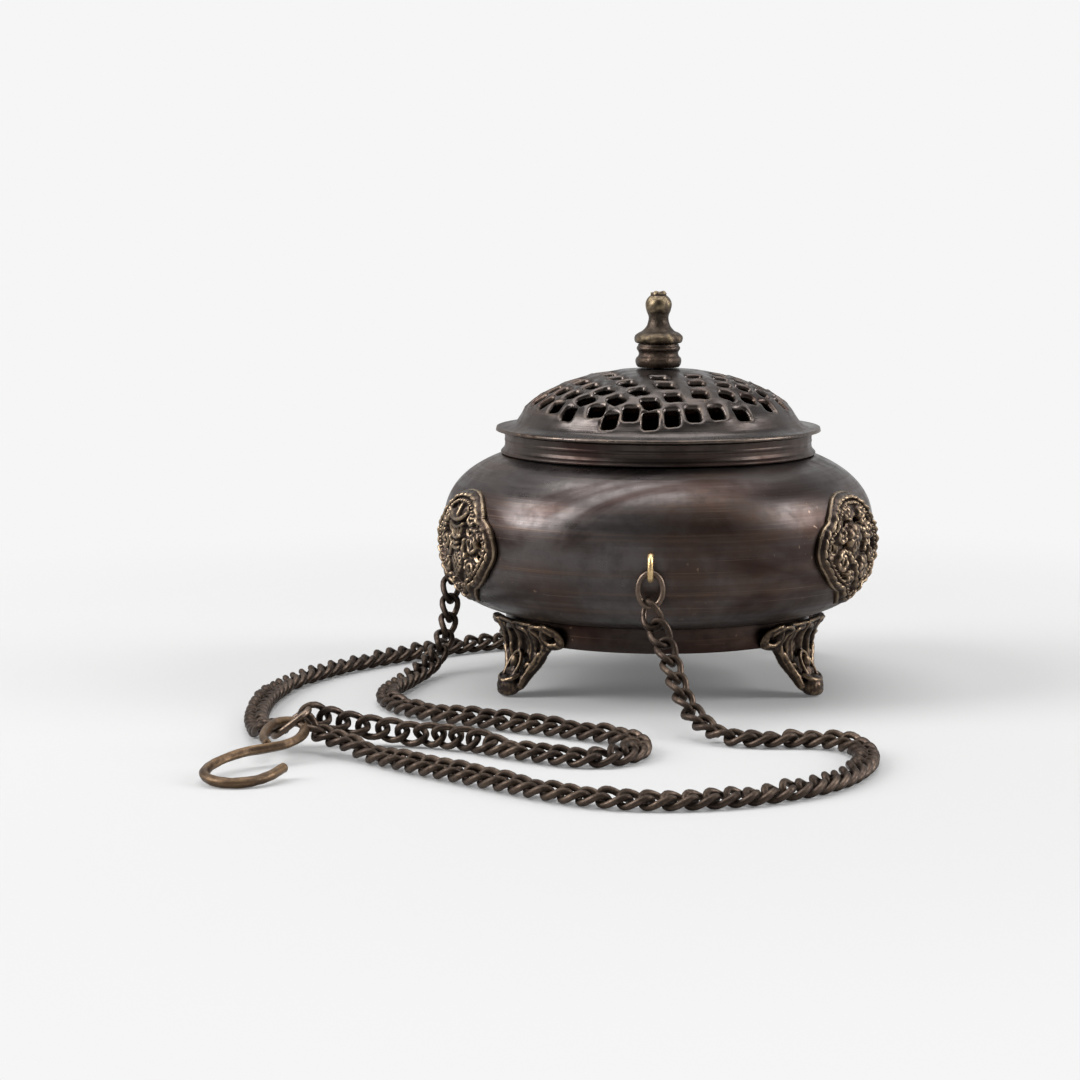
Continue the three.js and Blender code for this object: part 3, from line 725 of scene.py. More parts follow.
for side, azimuth in EYES.items():
    tangent, outward = facing(azimuth)
    path = SPLIT_PIN + [(r, -h) for r, h in SPLIT_PIN[-2::-1]]
    line = spline([outward * r + UP * (EYE_Z + h) for r, h in path], 8)
    verts, faces = tube(line, EYE_WIRE_R, 14, section=lambda u, a: 1 + 0.06 * np.cos(2 * a) * np.ones_like(u))
    build("eye_" + side, verts, faces, EYE, "censer", ["chain_eye_" + side])
    a = np.arange(72) * 2 * math.pi / 72
    x, y = 3.5 * np.cos(a), 4.8 * np.sin(a)
    top = EYE_Z - 3.3 + EYE_WIRE_R + 0.8 + 0.25
    line = outward * EYE_RING_R + UP * (top - 4.8) + x[:, None] * tangent + y[:, None] * UP
    verts, faces = tube(line, 0.8, 14, closed=True)
    build("link_ring_" + side, verts, faces, CHAIN, "ring_" + side, ["jump_ring_" + side])


# ---- Bowl, neck and base ring ----
def superellipse(t, power):
    return (1 - np.clip(t, 0, 1) ** power) ** (1 / power)


def shoulder_z(r):
    return BOWL_MID_Z + SHOULDER_RISE * superellipse(r / BOWL_R, SHOULDER_POWER)


def belly_z(r):
    return BOWL_MID_Z - BELLY_RISE * superellipse(r / BOWL_R, BELLY_POWER)


def bowl_radius(z):
    z = np.asarray(z, float)
    up = z > BOWL_MID_Z
    rise = np.where(up, SHOULDER_RISE, BELLY_RISE)
    power = np.where(up, SHOULDER_POWER, BELLY_POWER)
    return BOWL_R * superellipse(np.abs(z - BOWL_MID_Z) / rise, power)


def offset(line, distance):
    """A profile moved to its left by a distance."""
    t = unit(np.gradient(line, axis=0))
    return line + distance * np.stack([-t[:, 1], t[:, 0]], -1)


def bowl():
    r_low = np.linspace(BOWL_FLOOR_R, 62, 30)
    flatter = belly_z(50.0) - 0.11 * (50 - r_low)
    low = np.stack([r_low, np.maximum(belly_z(r_low), np.where(r_low < 50, flatter, 0))], -1)
    z_side = np.linspace(belly_z(62.0), shoulder_z(62.0), 60)[1:-1]
    side = np.stack([bowl_radius(z_side), z_side], -1)
    r_high = np.linspace(62, MOUTH_R, 30)
    high = np.stack([r_high, shoulder_z(r_high)], -1)
    skin = evenly(np.vstack([low, side, high]), 0.9)
    floor = [(r, low[0, 1] - 0.1) for r in np.linspace(0, 38, 14)]
    inner = offset(skin, WALL)[::-1]
    inner_floor = [(r, BOWL_FLOOR_Z + WALL) for r in np.linspace(38, 0, 14)]
    profile = np.vstack([floor, skin, inner, inner_floor])
    verts, faces, turn = lathe(profile, 224)
    # the sheet is not quite true: shallow waves left by the spinning
    r = np.hypot(verts[:, 0], verts[:, 1])
    wave = noise3(verts, 0.028, 5.0) * 0.28 + noise3(verts, 0.11, 9.0) * 0.05
    wave *= np.clip((r - 42) / 8, 0, 1)
    verts[:, :2] *= (1 + (wave - 0.25) / np.maximum(r, 1))[:, None]
    build("bowl_body", verts, faces, BOWL, "censer", ["bowl"], turn * MM)


def collar():
    bead = float(shoulder_z(MOUTH_R)) + 0.15
    outer = [
        (NECK_R, NECK_FOOT_Z), (NECK_R, bead - 0.1), (NECK_R + 1.0, bead), (NECK_R + 1.15, bead + 0.45),
        (NECK_R + 0.75, bead + 0.95), (NECK_R + 0.2, bead + 1.5), (NECK_R - 0.1, bead + 2.3), (NECK_R - 0.15, bead + 3.4),
        (NECK_R - 0.02, bead + 3.7), (NECK_R - 0.02, bead + 4.2), (NECK_R - 0.12, bead + 4.5), (NECK_R, NECK_RIM_Z),
    ]
    section = rounded(outer + [(NECK_R - WALL, NECK_RIM_Z), (NECK_R - WALL, NECK_FOOT_Z)], 0.2)
    verts, faces, turn = lathe(densely(section, 0.4, True)[:-1], 224, closed=True)
    build("neck", verts, faces, NECK, "censer", ["neck_collar"], turn * MM)


def base_band():
    inner = BASE_RING_R - 2
    band_top = float(belly_z(50.0)) - 0.11 * (50 - BASE_RING_R) - 0.05
    section = rounded(
        [
            (inner, BASE_RING_Z), (BASE_RING_R, BASE_RING_Z), (BASE_RING_R + 0.1, BASE_RING_Z + 1.4),
            (BASE_RING_R, band_top), (inner, band_top - 0.25),
        ],
        0.4,
    )
    verts, faces, turn = lathe(densely(section, 0.5, True)[:-1], 224, closed=True)
    build("foot_band", verts, faces, NECK, "censer", ["base_ring"], turn * MM)


bowl()
collar()
base_band()


# ---- Lid ----
def dome_z(r):
    return DOME_Z + DOME_RISE * superellipse(r / DOME_R, DOME_POWER)


def lid_line():
    """The lid's outer meridian from the crown to the edge of its flange, as radius and height."""
    r = np.sin(np.linspace(0, 1.37, 90)) * DOME_R
    dome = np.stack([r, dome_z(r)], -1)
    foot = [(42.15, 80.1), (43.2, 78.75), (44.9, 77.85), (46.9, 77.45), (48.1, 77.6), (48.75, 77.75)]
    fillet = spline([dome[-2], dome[-1], *foot], 12)
    return np.vstack([dome[:-2], fillet])


LID_LINE = lid_line()
LID_S = arc_lengths(LID_LINE)
LID_NORMAL = unit(np.stack([-np.gradient(LID_LINE[:, 1]), np.gradient(LID_LINE[:, 0])], -1))


def on_lid(points, lift=0.0):
    """Points of the lid's skin from its unrolled plane, lifted along the skin's normal."""
    s = np.hypot(points[:, 0], points[:, 1])
    r, z = along(LID_LINE, LID_S, s).T
    nr, nz = unit(along(LID_NORMAL, LID_S, s)).T
    way = points / np.maximum(1e-6, s)[:, None]
    radius = r + nr * lift
    return np.column_stack([way[:, 0] * radius, way[:, 1] * radius, z + nz * lift])


def hole_centres():
    """The smoke holes, as in the CAD frame: a leaning grid whose crowded holes are moved apart."""
    centres = []
    for column in range(-9, 10):
        x0 = 1.8 + 42 * math.tanh(0.22 * column)
        lean = 0.25 * math.tanh(x0 / 8) - 0.3
        for row in range(-9, 10):
            c = 6.5 + 8 * row
            aside = 4.2 if row < -5 else 0.0
            x, y = x0, c
            for _ in range(8):
                y = c + 0.4 * x
                x = x0 + aside + lean * 20 * math.tanh((y + 27) / 20)
            r = math.hypot(x, y)
            outer = HOLES_FRONT_R if y < -30 and x > -20 else HOLES_OUTER_R
            if r < HOLES_INNER_R or r > outer or abs(x0) > HOLES_EDGE_R:
                continue
            past = max(0.0, r - HOLES_EDGE_R)
            kept = r - past + 2.4 * (1 - math.exp(-past / 2.4))
            centres.append([x * kept / r, y * kept / r, lean])
    return spread(centres)


def dome_height(r):
    return DOME_Z + DOME_RISE * max(0.0, 1 - (r / DOME_R) ** DOME_POWER) ** (1 / DOME_POWER)


def spread(centres):
    for _ in range(40):
        for i, a in enumerate(centres):
            for b in centres[i + 1 :]:
                dx, dy = b[0] - a[0], b[1] - a[1]
                plan = math.hypot(dx, dy)
                if plan >= HOLE_PITCH:
                    continue
                distance = math.hypot(plan, dome_height(math.hypot(*b[:2])) - dome_height(math.hypot(*a[:2])))
                if distance >= HOLE_PITCH:
                    continue
                push = 0.3 * (HOLE_PITCH - distance) / plan
                a[0] -= push * dx
                a[1] -= push * dy
                b[0] += push * dx
                b[1] += push * dy
        for hole in centres:
            back = min(1.0, HOLES_RIM_R / math.hypot(hole[0], hole[1]))
            hole[0] *= back
            hole[1] *= back
    return centres


HOLES = hole_centres()


def hole_fields(place, rng):
    """How far, in millimetres, each point lies outside the nearest hole; and the scoop beside it."""
    near = np.full(len(place), 50.0)
    shape = np.zeros(len(place))
    for x, y, lean in HOLES:
        r = math.hypot(x, y)
        slope = (dome_height(r + 0.2) - dome_height(r - 0.2)) / 0.4
        normal = unit(np.array([-slope * x / r, -slope * y / r, 1.0]))
        down = np.array([x / r, y / r, 0.0])
        down = unit(down - normal * (down @ normal))
        along_way = np.array([lean, 1.0, 0.0])
        along_way = unit(along_way - normal * (along_way @ normal))
        upright = min(1.0, max(0.0, (r - 33) / 6))  # on the rim the holes stand along the slope
        along_way = unit(along_way * (1 - upright) + down * upright * math.copysign(1, along_way @ down))
        across_way = np.cross(along_way, normal)
        d = place - (x, y, dome_height(r))
        close = np.abs(d @ normal) < 6
        half_w = (2.3 if y < -36 else 2.5) * rng.uniform(0.94, 1.05)
        half_d = (3.15 if y < -36 else 2.85) * rng.uniform(0.92, 1.05)
        skew = rng.uniform(-0.1, 0.15)
        u, v = d @ across_way, d @ along_way
        v = v + skew * u
        g = ((np.abs(u) / half_w) ** 4.2 + (np.abs(v) / half_d) ** 4.2) ** (1 / 4.2)
        near = np.minimum(near, np.where(close, (g - 1) * half_d, 50.0))
        out, aside = d @ down, d @ np.cross(normal, down)
        scoop = -0.6 * np.exp(-((out + 2.5) ** 2 + aside**2) / 2.3**2)
        brow = 0.34 * np.exp(-(((out - 3.2) / 1.0) ** 2) - (aside / 2.8) ** 2)
        shape += np.where(close, scoop + brow, 0.0)
    return near, shape


def lid():
    reach = LID_S[-1]
    step = 0.46
    grid = np.arange(-reach - step, reach + 2 * step, step)
    gx, gy = np.meshgrid(grid, grid, indexing="ij")
    flat = np.column_stack([gx.ravel(), gy.ravel()])
    near, _ = hole_fields(on_lid(flat), np.random.default_rng(3))
    rim = reach - np.hypot(flat[:, 0], flat[:, 1])
    field = np.minimum(near, rim).reshape(gx.shape)

    def lip(points):
        near, shape = hole_fields(on_lid(points), np.random.default_rng(3))
        s = np.hypot(points[:, 0], points[:, 1])
        soft = 0.95
        inside = np.clip(1 - near / soft, 0, 1)
        round_off = -soft * (1 - np.sqrt(np.clip(1 - inside**2, 0, 1)))
        field_share = np.clip((s - 8.5) / 3, 0, 1) * np.clip((reach - 3 - s) / 4, 0, 1)
        dents = noise3(np.column_stack([points, np.zeros(len(points))]), 0.09, 2.0) * 0.16
        return (shape + round_off + dents) * field_share, s

    def top(points):
        lift, _ = lip(points)
        return on_lid(points, lift)

    def bottom(points):
        lift, s = lip(points)
        thick = np.interp(s, [0, reach - 14, reach - 6, reach - 2, reach], [DOME_SHELL, DOME_SHELL, 1.7, 1.15, 1.0])
        return on_lid(points, 0.45 * lift - thick)

    verts, faces, points = level_mesh(grid, grid, field, top, bottom)
    turn = np.tile(np.hypot(points[:, 0], points[:, 1]), 2)
    build("pierced_lid", verts, faces, LID, "cover", ["lid"], turn * MM)


lid()

ring_top = LID_FLANGE_Z + 0.65
section = rounded([(42.6, LID_FLANGE_Z - 4.4), (43.8, LID_FLANGE_Z - 4.4), (43.8, ring_top), (42.6, ring_top)], 0.3)
ring_verts, ring_faces, ring_turn = lathe(densely(section, 0.6, True)[:-1], 160, closed=True)
build("locating_ring", ring_verts, ring_faces, NECK, "cover", ["lid_locating_ring"], ring_turn * MM)


# ---- Finial ----
def finial():
    foot = DOME_TOP_Z + 0.3
    drum_line = spline(
        [(6.2, foot), (6.75, foot + 0.9), (6.95, foot + 1.9), (6.75, foot + 2.7), (6.15, foot + 3.4), (5.95, foot + 4.1),
         (6.15, foot + 4.8), (6.5, foot + 5.3), (6.55, foot + 5.9), (6.2, foot + 6.4), (6.1, 102.5)], 6
    )
    profile = np.vstack([[(1.8, foot)], drum_line, [(1.8, 102.5)]])
    verts, faces, turn = lathe(densely(profile, 0.3, True)[:-1], 96, closed=True)
    verts[:, :2] *= (1 + noise3(verts, 0.35, 3.0) * 0.012)[:, None]
    build("finial_base", verts, faces, DRUM, "cover", ["finial_drum"], turn * MM)

    foot = 102.8
    knob_line = spline(
        [(6.5, foot), (7.1, foot + 0.4), (7.35, foot + 1.3), (7.1, foot + 2.2), (6.2, foot + 2.95), (4.9, foot + 3.6),
         (3.75, foot + 4.8), (3.2, foot + 6.2), (3.0, foot + 7.4), (3.2, foot + 8.6), (3.65, foot + 9.7),
         (3.95, foot + 11.0), (3.85, foot + 12.3), (3.35, foot + 13.4), (2.75, foot + 14.0), (2.35, foot + 14.3),
         (2.3, foot + 15.0), (1.9, foot + 15.25), (1.0, foot + 15.2), (0, foot + 15.1)], 6
    )
    profile = np.vstack([[(0, 87.6), (1.5, 87.6), (1.5, foot)], knob_line])
    verts, faces, turn = lathe(densely(profile, 0.3), 96)
    rough_tip = np.clip((verts[:, 2] - (foot + 14.2)) / 0.7, 0, 1)
    verts[:, :2] *= (1 + noise3(verts, 0.5, 7.0) * (0.022 + 0.12 * rough_tip))[:, None]
    verts[:, 2] += noise3(verts, 0.9, 11.0) * (0.03 + 0.35 * rough_tip) * (verts[:, 2] > foot + 1)
    build("finial_top", verts, faces, KNOB, "cover", ["finial_knob"], turn * MM)


finial()

under = DOME_TOP_Z - DOME_SHELL
for name, node, outer, low, high, facets in (
    ("crown_washer", "finial_washer", 4.6, under - 1.1, under - 0.3, 96),
    ("crown_nut", "finial_nut", 3.4, under - 4.2, under - 1.4, 6),
):
    section = rounded([(1.8, low), (outer, low), (outer, high), (1.8, high)], 0.15, steps=2)
    v, f, t = lathe(section, facets, closed=True)
    piece = build(name, v, f, DRUM, "cover", [node], t * MM)
    if facets == 6:
        piece.data.polygons.foreach_set("use_smooth", np.zeros(len(piece.data.polygons), bool))


# ---- Charcoal pan ----
def pan():
    foot = BOWL_FLOOR_Z + WALL + 0.3
    outer = spline([(22, foot), (29, foot + 3), (33, foot + 11), (34.5, foot + 25)], 10)
    rim = [(36.0, foot + 25.3), (36.4, foot + 25.9), (36.1, foot + 26.4), (33.8, foot + 26.4)]
    inner = offset(outer, 1.2)[::-1]
    profile = np.vstack([[(0, foot), (12, foot)], outer, rim, inner, [(12, foot + 1.2), (0, foot + 1.2)]])
    verts, faces, turn = lathe(densely(profile, 1.2), 128)
    build("pan", verts, faces, PAN, "pan", ["charcoal_pan"], turn * MM)


pan()


# ---- Relief tools for the cast pieces ----
def distance_to(points, line):
    """Distance from each point to a polyline, and how far along it the nearest point lies."""
    best = np.full(len(points), 1e9)
    where = np.zeros(len(points))
    s = arc_lengths(line)
    for k in range(len(line) - 1):
        a, d = line[k], line[k + 1] - line[k]
        t = np.clip(((points - a) @ d) / max(1e-9, d @ d), 0, 1)
        e = np.linalg.norm(points - a - t[:, None] * d, axis=1)
        closer = e < best
        best[closer] = e[closer]
        where[closer] = s[k] + t[closer] * math.sqrt(d @ d)
    return best, where


def ridge(distance, width):
    """A half-round section of height 1."""
    return np.sqrt(np.clip(1 - (distance / width) ** 2, 0, 1))


def scroll(cx, cy, r, start, turns, way=1, shrink=0.25):
    """A spiral line winding in about a centre."""
    t = np.linspace(0, 1, int(14 * abs(turns)) + 6)
    a = math.radians(start) + way * 2 * math.pi * turns * t
    rr = r * (1 - (1 - shrink) * t)
    return np.stack([cx + rr * np.cos(a), cy + rr * np.sin(a)], -1)


def polygon_field(points, polygon):
    """Signed distance to a closed outline: positive inside."""
    loop = np.vstack([polygon, polygon[:1]])
    d, s = distance_to(points, loop)
    inside = np.zeros(len(points), bool)
    for a, b in zip(loop, loop[1:]):
        cross = (a[1] > points[:, 1]) != (b[1] > points[:, 1])
        x = (b[0] - a[0]) * (points[:, 1] - a[1]) / (b[1] - a[1] + 1e-12) + a[0]
        inside ^= cross & (points[:, 0] < x)
    return np.where(inside, d, -d), s


def mirrored(half):
    """A closed outline from its right half, listed from the top down."""
    half = np.array(half, float)
    left = half[::-1] * (-1, 1)
    keep = left[np.abs(left[:, 0]) > 1e-6]
    return np.vstack([half, keep])


def ellipse_field(points, cx, cy, a, b, tilt=0.0):
    c, s = math.cos(math.radians(tilt)), math.sin(math.radians(tilt))
    dx, dy = points[:, 0] - cx, points[:, 1] - cy
    u, v = dx * c + dy * s, dy * c - dx * s
    return (np.hypot(u / a, v / b) - 1) * min(a, b)


# ---- Medallions ----
CARTOUCHE = [
    (0, 16.4), (3.2, 16.2), (6.4, 15.2), (9.3, 13.2), (11.2, 11.2), (12.3, 9.7), (12.7, 8.9), (13.9, 8.1), (15.6, 6.8),
    (17.2, 4.2), (18.0, 1.0), (17.9, -1.6), (16.5, -4.2), (14.7, -6.2), (13.1, -8.2), (10.9, -10.0), (8.6, -11.4),
    (6.8, -12.1), (5.7, -13.2), (4.0, -14.9), (2.0, -16.3), (0, -16.9),
]


def vase_motif(p):
    """A vase between scrolls: heights above the plate, and the gaps through it."""
    h = np.zeros(len(p))
    u, v = p[:, 0], p[:, 1]
    taper = np.clip((v + 11.4) / 6.5, 0.15, 1) ** 0.7
    body = (np.hypot(u / (3.9 * taper), (v + 5.6) / 5.0) - 1) * 3.9
    hatch = 0.3 * (np.maximum(np.cos((u + v) * 3.6), np.cos((u - v) * 3.6)) - 0.2)
    h = np.where(body < 0, 1.9 * ridge(np.clip(3.9 + body, 0, 9), 4.4) + np.where(body < -0.5, hatch, 0), h)
    bands = [
        ([(-2.7, -0.2), (0, -0.7), (2.7, -0.2)], 0.7, 2.2),
        ([(-2.0, 1.3), (0, 0.9), (2.0, 1.3)], 0.65, 2.3),
        ([(-3.0, 3.2), (0, 2.6), (3.0, 3.2)], 0.75, 2.2),
        ([(-4.6, 6.9), (-2.4, 6.1), (0, 5.8), (2.4, 6.1), (4.6, 6.9)], 0.7, 2.3),
        ([(-5.6, 9.8), (-3.4, 8.5), (0, 7.9), (3.4, 8.5), (5.6, 9.8)], 0.9, 2.5),
        ([(0, 9.4), (0, 12.2)], 1.1, 1.9),
    ]
    for line, width, height in bands:
        d, _ = distance_to(p, spline(line, 4) if len(line) > 2 else np.array(line, float))
        h = np.maximum(h, height * ridge(d, width))
    for k in (-3.2, -1.6, 0, 1.6, 3.2):
        d, _ = distance_to(p, np.array([(k * 0.75, 3.4), (k * 1.15, 6.0)]))
        h = np.maximum(h, 1.9 * ridge(d, 0.5))
    lines = []
    for side in (-1, 1):
        lines += [
            scroll(side * 9.4, 1.2, 2.9, 90 - side * 20, 1.35, -side),
            scroll(side * 8.4, -5.8, 2.6, 90 + side * 40, 1.25, side),
            scroll(side * 9.2, 8.4, 2.4, -60 * side + 90, 1.2, side),
            spline([(side * 4.6, -10.2), (side * 7.2, -9.4), (side * 10.6, -8.4), (side * 13.6, -4.4)], 4),
            spline([(side * 13.6, 3.4), (side * 11.6, 5.4), (side * 9.6, 5.6)], 4),
            spline([(side * 1.2, -11.6), (side * 2.6, -13.0), (side * 4.6, -12.4)], 4),
            spline([(side * 5.4, 2.2), (side * 4.4, -0.4), (side * 5.6, -2.6)], 4),
        ]
    for line in lines:
        d, s = distance_to(p, line)
        h = np.maximum(h, (1.7 + 0.25 * np.cos(s * 2.2)) * ridge(d, 0.85))
    gaps = [
        (6.6, 4.6, 1.2, 1.3, -20), (6.9, -1.2, 0.9, 1.7, 10), (11.9, -2.4, 1.5, 0.8, -20), (6.2, -7.6, 0.8, 1.0, 0),
        (12.9, 1.4, 0.7, 1.2, 0), (3.4, 11.4, 1.3, 0.8, -20), (12.0, 7.2, 0.8, 0.6, 0),
        (-6.3, 5.2, 1.0, 1.2, 20), (-6.7, -1.4, 0.8, 1.4, 0), (-12.2, -2.0, 1.1, 0.7, 0), (-3.6, 11.2, 1.0, 0.7, 20),
        (-9.2, -10.0, 0.9, 0.5, 20), (3.2, -13.2, 0.7, 0.6, 0),
    ]
    return h, gaps


def flower_motif(p):
    """A many-petalled flower with leaves and tendrils."""
    h = np.zeros(len(p))
    for cx, cy, r, petals in ((-1.6, 3.4, 4.6, 7), (4.6, -5.6, 4.0, 6)):
        d = np.hypot(p[:, 0] - cx, p[:, 1] - cy)
        a = np.arctan2(p[:, 1] - cy, p[:, 0] - cx)
        edge = r * (0.8 + 0.2 * np.abs(np.cos(a * petals / 2)))
        petal = ridge(np.clip(d - r * 0.45, 0, 9), r * 0.6) * (0.72 + 0.28 * np.abs(np.cos(a * petals / 2)) ** 0.5)
        h = np.maximum(h, np.where(d < edge, 2.2 * petal, 0))
        h = np.maximum(h, 2.6 * ridge(d, r * 0.32))
    lines = [scroll(-8.6, -3.0, 3.2, 60, 1.4, 1), scroll(9.4, 4.2, 2.9, 200, 1.3, -1), scroll(-9.6, 5.0, 2.4, -40, 1.2, -1),
             scroll(4.6, 10.0, 2.5, 240, 1.3, 1), scroll(-4.2, -8.8, 2.5, 120, 1.25, -1), scroll(11.6, -2.8, 2.1, 120, 1.1, 1),
             scroll(-4.6, 11.0, 2.2, -80, 1.1, -1), np.array([(2.2, 5.8), (5.2, 5.2), (6.6, 2.4), (5.6, -0.6)]),
             np.array([(-5.6, -0.6), (-3.4, -3.2), (-0.6, -4.2), (0.4, -8.4), (2.6, -11.8)]),
             np.array([(9.6, -7.4), (7.6, -9.8), (4.6, -11.2)])]
    for line in lines:
        d, s = distance_to(p, line)
        h = np.maximum(h, (1.8 + 0.3 * np.cos(s * 2.6)) * ridge(d, 1.0))
    gaps = [(-5.6, 7.6, 1.2, 0.9, 30), (1.8, 8.2, 1.3, 0.8, 0), (-6.2, 1.0, 0.9, 1.3, 10), (3.9, 1.9, 1.1, 1.5, 0),
            (-1.4, -2.2, 1.4, 0.8, -20), (0.4, -10.2, 0.8, 1.1, 0), (-7.4, -7.4, 1.2, 0.9, -30), (8.6, -0.3, 0.9, 1.2, 0),
            (8.4, 8.3, 1.0, 0.8, 30), (-2.4, 12.4, 0.9, 0.6, 0), (12.8, 1.2, 0.7, 1.0, 0), (-12.6, 1.2, 0.8, 1.2, 0),
            (-10.4, -8.0, 0.8, 0.6, 0), (9.9, -5.2, 0.8, 0.7, 0)]
    return h, gaps


CARTOUCHE_SQUEEZE = 0.91  # the motifs are drawn on a plate this much wider


def medallion(side, azimuth, motif):
    tangent, outward = facing(azimuth)
    outline = evenly(np.vstack([spline(mirrored(CARTOUCHE), 5), mirrored(CARTOUCHE)[:1]]), 0.5)[:-1]
    xs, ys = np.arange(-19.0, 19.1, 0.27), np.arange(-17.9, 18.0, 0.27)
    gx, gy = np.meshgrid(xs, ys, indexing="ij")
    flat = np.column_stack([gx.ravel(), gy.ravel()])

    def relief(p):
        edge, s = polygon_field(p, outline)
        q = p / (CARTOUCHE_SQUEEZE, 1.0)
        picture, gaps = motif(q)
        plate = 0.75 + 0.25 * noise3(np.column_stack([p, np.full(len(p), azimuth + 40)]), 0.35)
        h = plate + 0.8 * picture * np.clip((edge - 2.9) / 0.7, 0, 1)
        rope = ridge(edge - 3.0, 0.72) * (1.55 + 0.42 * np.cos(s * 3.9 + edge * 3.4))
        h = np.maximum(h, 0.3 + rope)
        scallop = 0.72 + 0.28 * np.abs(np.cos(s * 0.95 + edge)) + 0.1 * noise3(np.column_stack([p, 0 * s]), 0.5, azimuth)
        h = np.maximum(h, 0.35 + 2.2 * scallop * ridge(edge - 1.25, 0.85))
        h = np.where(edge < 0.75, np.maximum(h, 1.0), h)
        h += 0.1 * noise3(np.column_stack([p, np.full(len(p), azimuth)]), 0.9)
        holes = np.min([ellipse_field(q, *gap) for gap in gaps], axis=0)
        h -= 0.8 * np.clip(1 - holes / 0.5, 0, 1)
        return np.clip(h, 0.25, 2.9), edge, holes

    h, edge, holes = relief(flat)
    field = np.minimum(edge, holes).reshape(gx.shape)

    def placed(p, lift):
        z = MEDALLION_MID_Z + p[:, 1]
        slope_r = bowl_radius(z) + 0.25 + lift
        depth = np.sqrt(np.maximum(1, slope_r**2 - p[:, 0] ** 2))
        return p[:, :1] * tangent + depth[:, None] * outward + z[:, None] * UP

    verts, faces, _ = level_mesh(xs, ys, field, lambda p: placed(p, relief(p)[0]), lambda p: placed(p, -0.35))
    build("cartouche_" + side, verts, faces, CAST, "censer", ["medallion_" + side])


medallion("left", MEDALLIONS["left"], vase_motif)
medallion("right", MEDALLIONS["right"], flower_motif)
medallion("back", MEDALLIONS["back"], vase_motif)

# ---- Feet ----
FOOT_OUTLINE = [
    (0, 22.6), (8, 22.8), (14.6, 22.8), (16.8, 21.6), (17.4, 19.4), (17.2, 17.2), (16.2, 15.6), (14.4, 14.9), (12.4, 14.6),
    (10.9, 13.0), (9.6, 11.0), (8.2, 9.0), (6.6, 6.9), (5.5, 4.8), (4.8, 2.6), (2.6, 1.6), (0, 1.3),
]
TOE_R = 52.4


def foot_inner_r(z):
    flare = 3.2 * np.clip((z - 16) / 6, 0, 1) ** 1.5
    kick = 4.2 * np.clip((11 - z) / 9, 0, 1) ** 1.6
    return BASE_RING_R + 0.3 + flare + kick


def remeshed(name, verts, faces, voxel, smooth):
    """Overlapping solids made into one cast skin."""
    mesh = bpy.data.meshes.new(name)
    mesh.from_pydata((np.asarray(verts) * MM).tolist(), [], faces)
    holder = bpy.data.objects.new(name, mesh)
    scene.collection.objects.link(holder)
    modifier = holder.modifiers.new("remesh", "REMESH")
    modifier.mode = "VOXEL"
    modifier.voxel_size = voxel * MM
    soften = holder.modifiers.new("smooth", "SMOOTH")
    soften.factor, soften.iterations = 0.5, smooth
    bpy.context.view_layer.update()
    made = holder.evaluated_get(bpy.context.evaluated_depsgraph_get()).to_mesh()
    v = np.array([x.co for x in made.vertices], float) / MM
    f = [tuple(p.vertices) for p in made.polygons]
    holder.to_mesh_clear()
    bpy.data.objects.remove(holder)
    bpy.data.meshes.remove(mesh)
    return v, f


def ball(centre, sizes, tangent, outward, rows=14, columns=20):
    """An ellipsoid whose three half sizes lie across, up and outward."""
    verts, faces, _ = lathe([(math.cos(a), math.sin(a)) if abs(a) < 1.57 else (0, math.sin(a))
                             for a in np.linspace(-math.pi / 2, math.pi / 2, rows)], columns)
    axes = np.array([tangent * sizes[0], outward * sizes[2], UP * sizes[1]])
    flipped = [tuple(reversed(f)) for f in faces]
    return np.asarray(centre) + verts @ axes, flipped


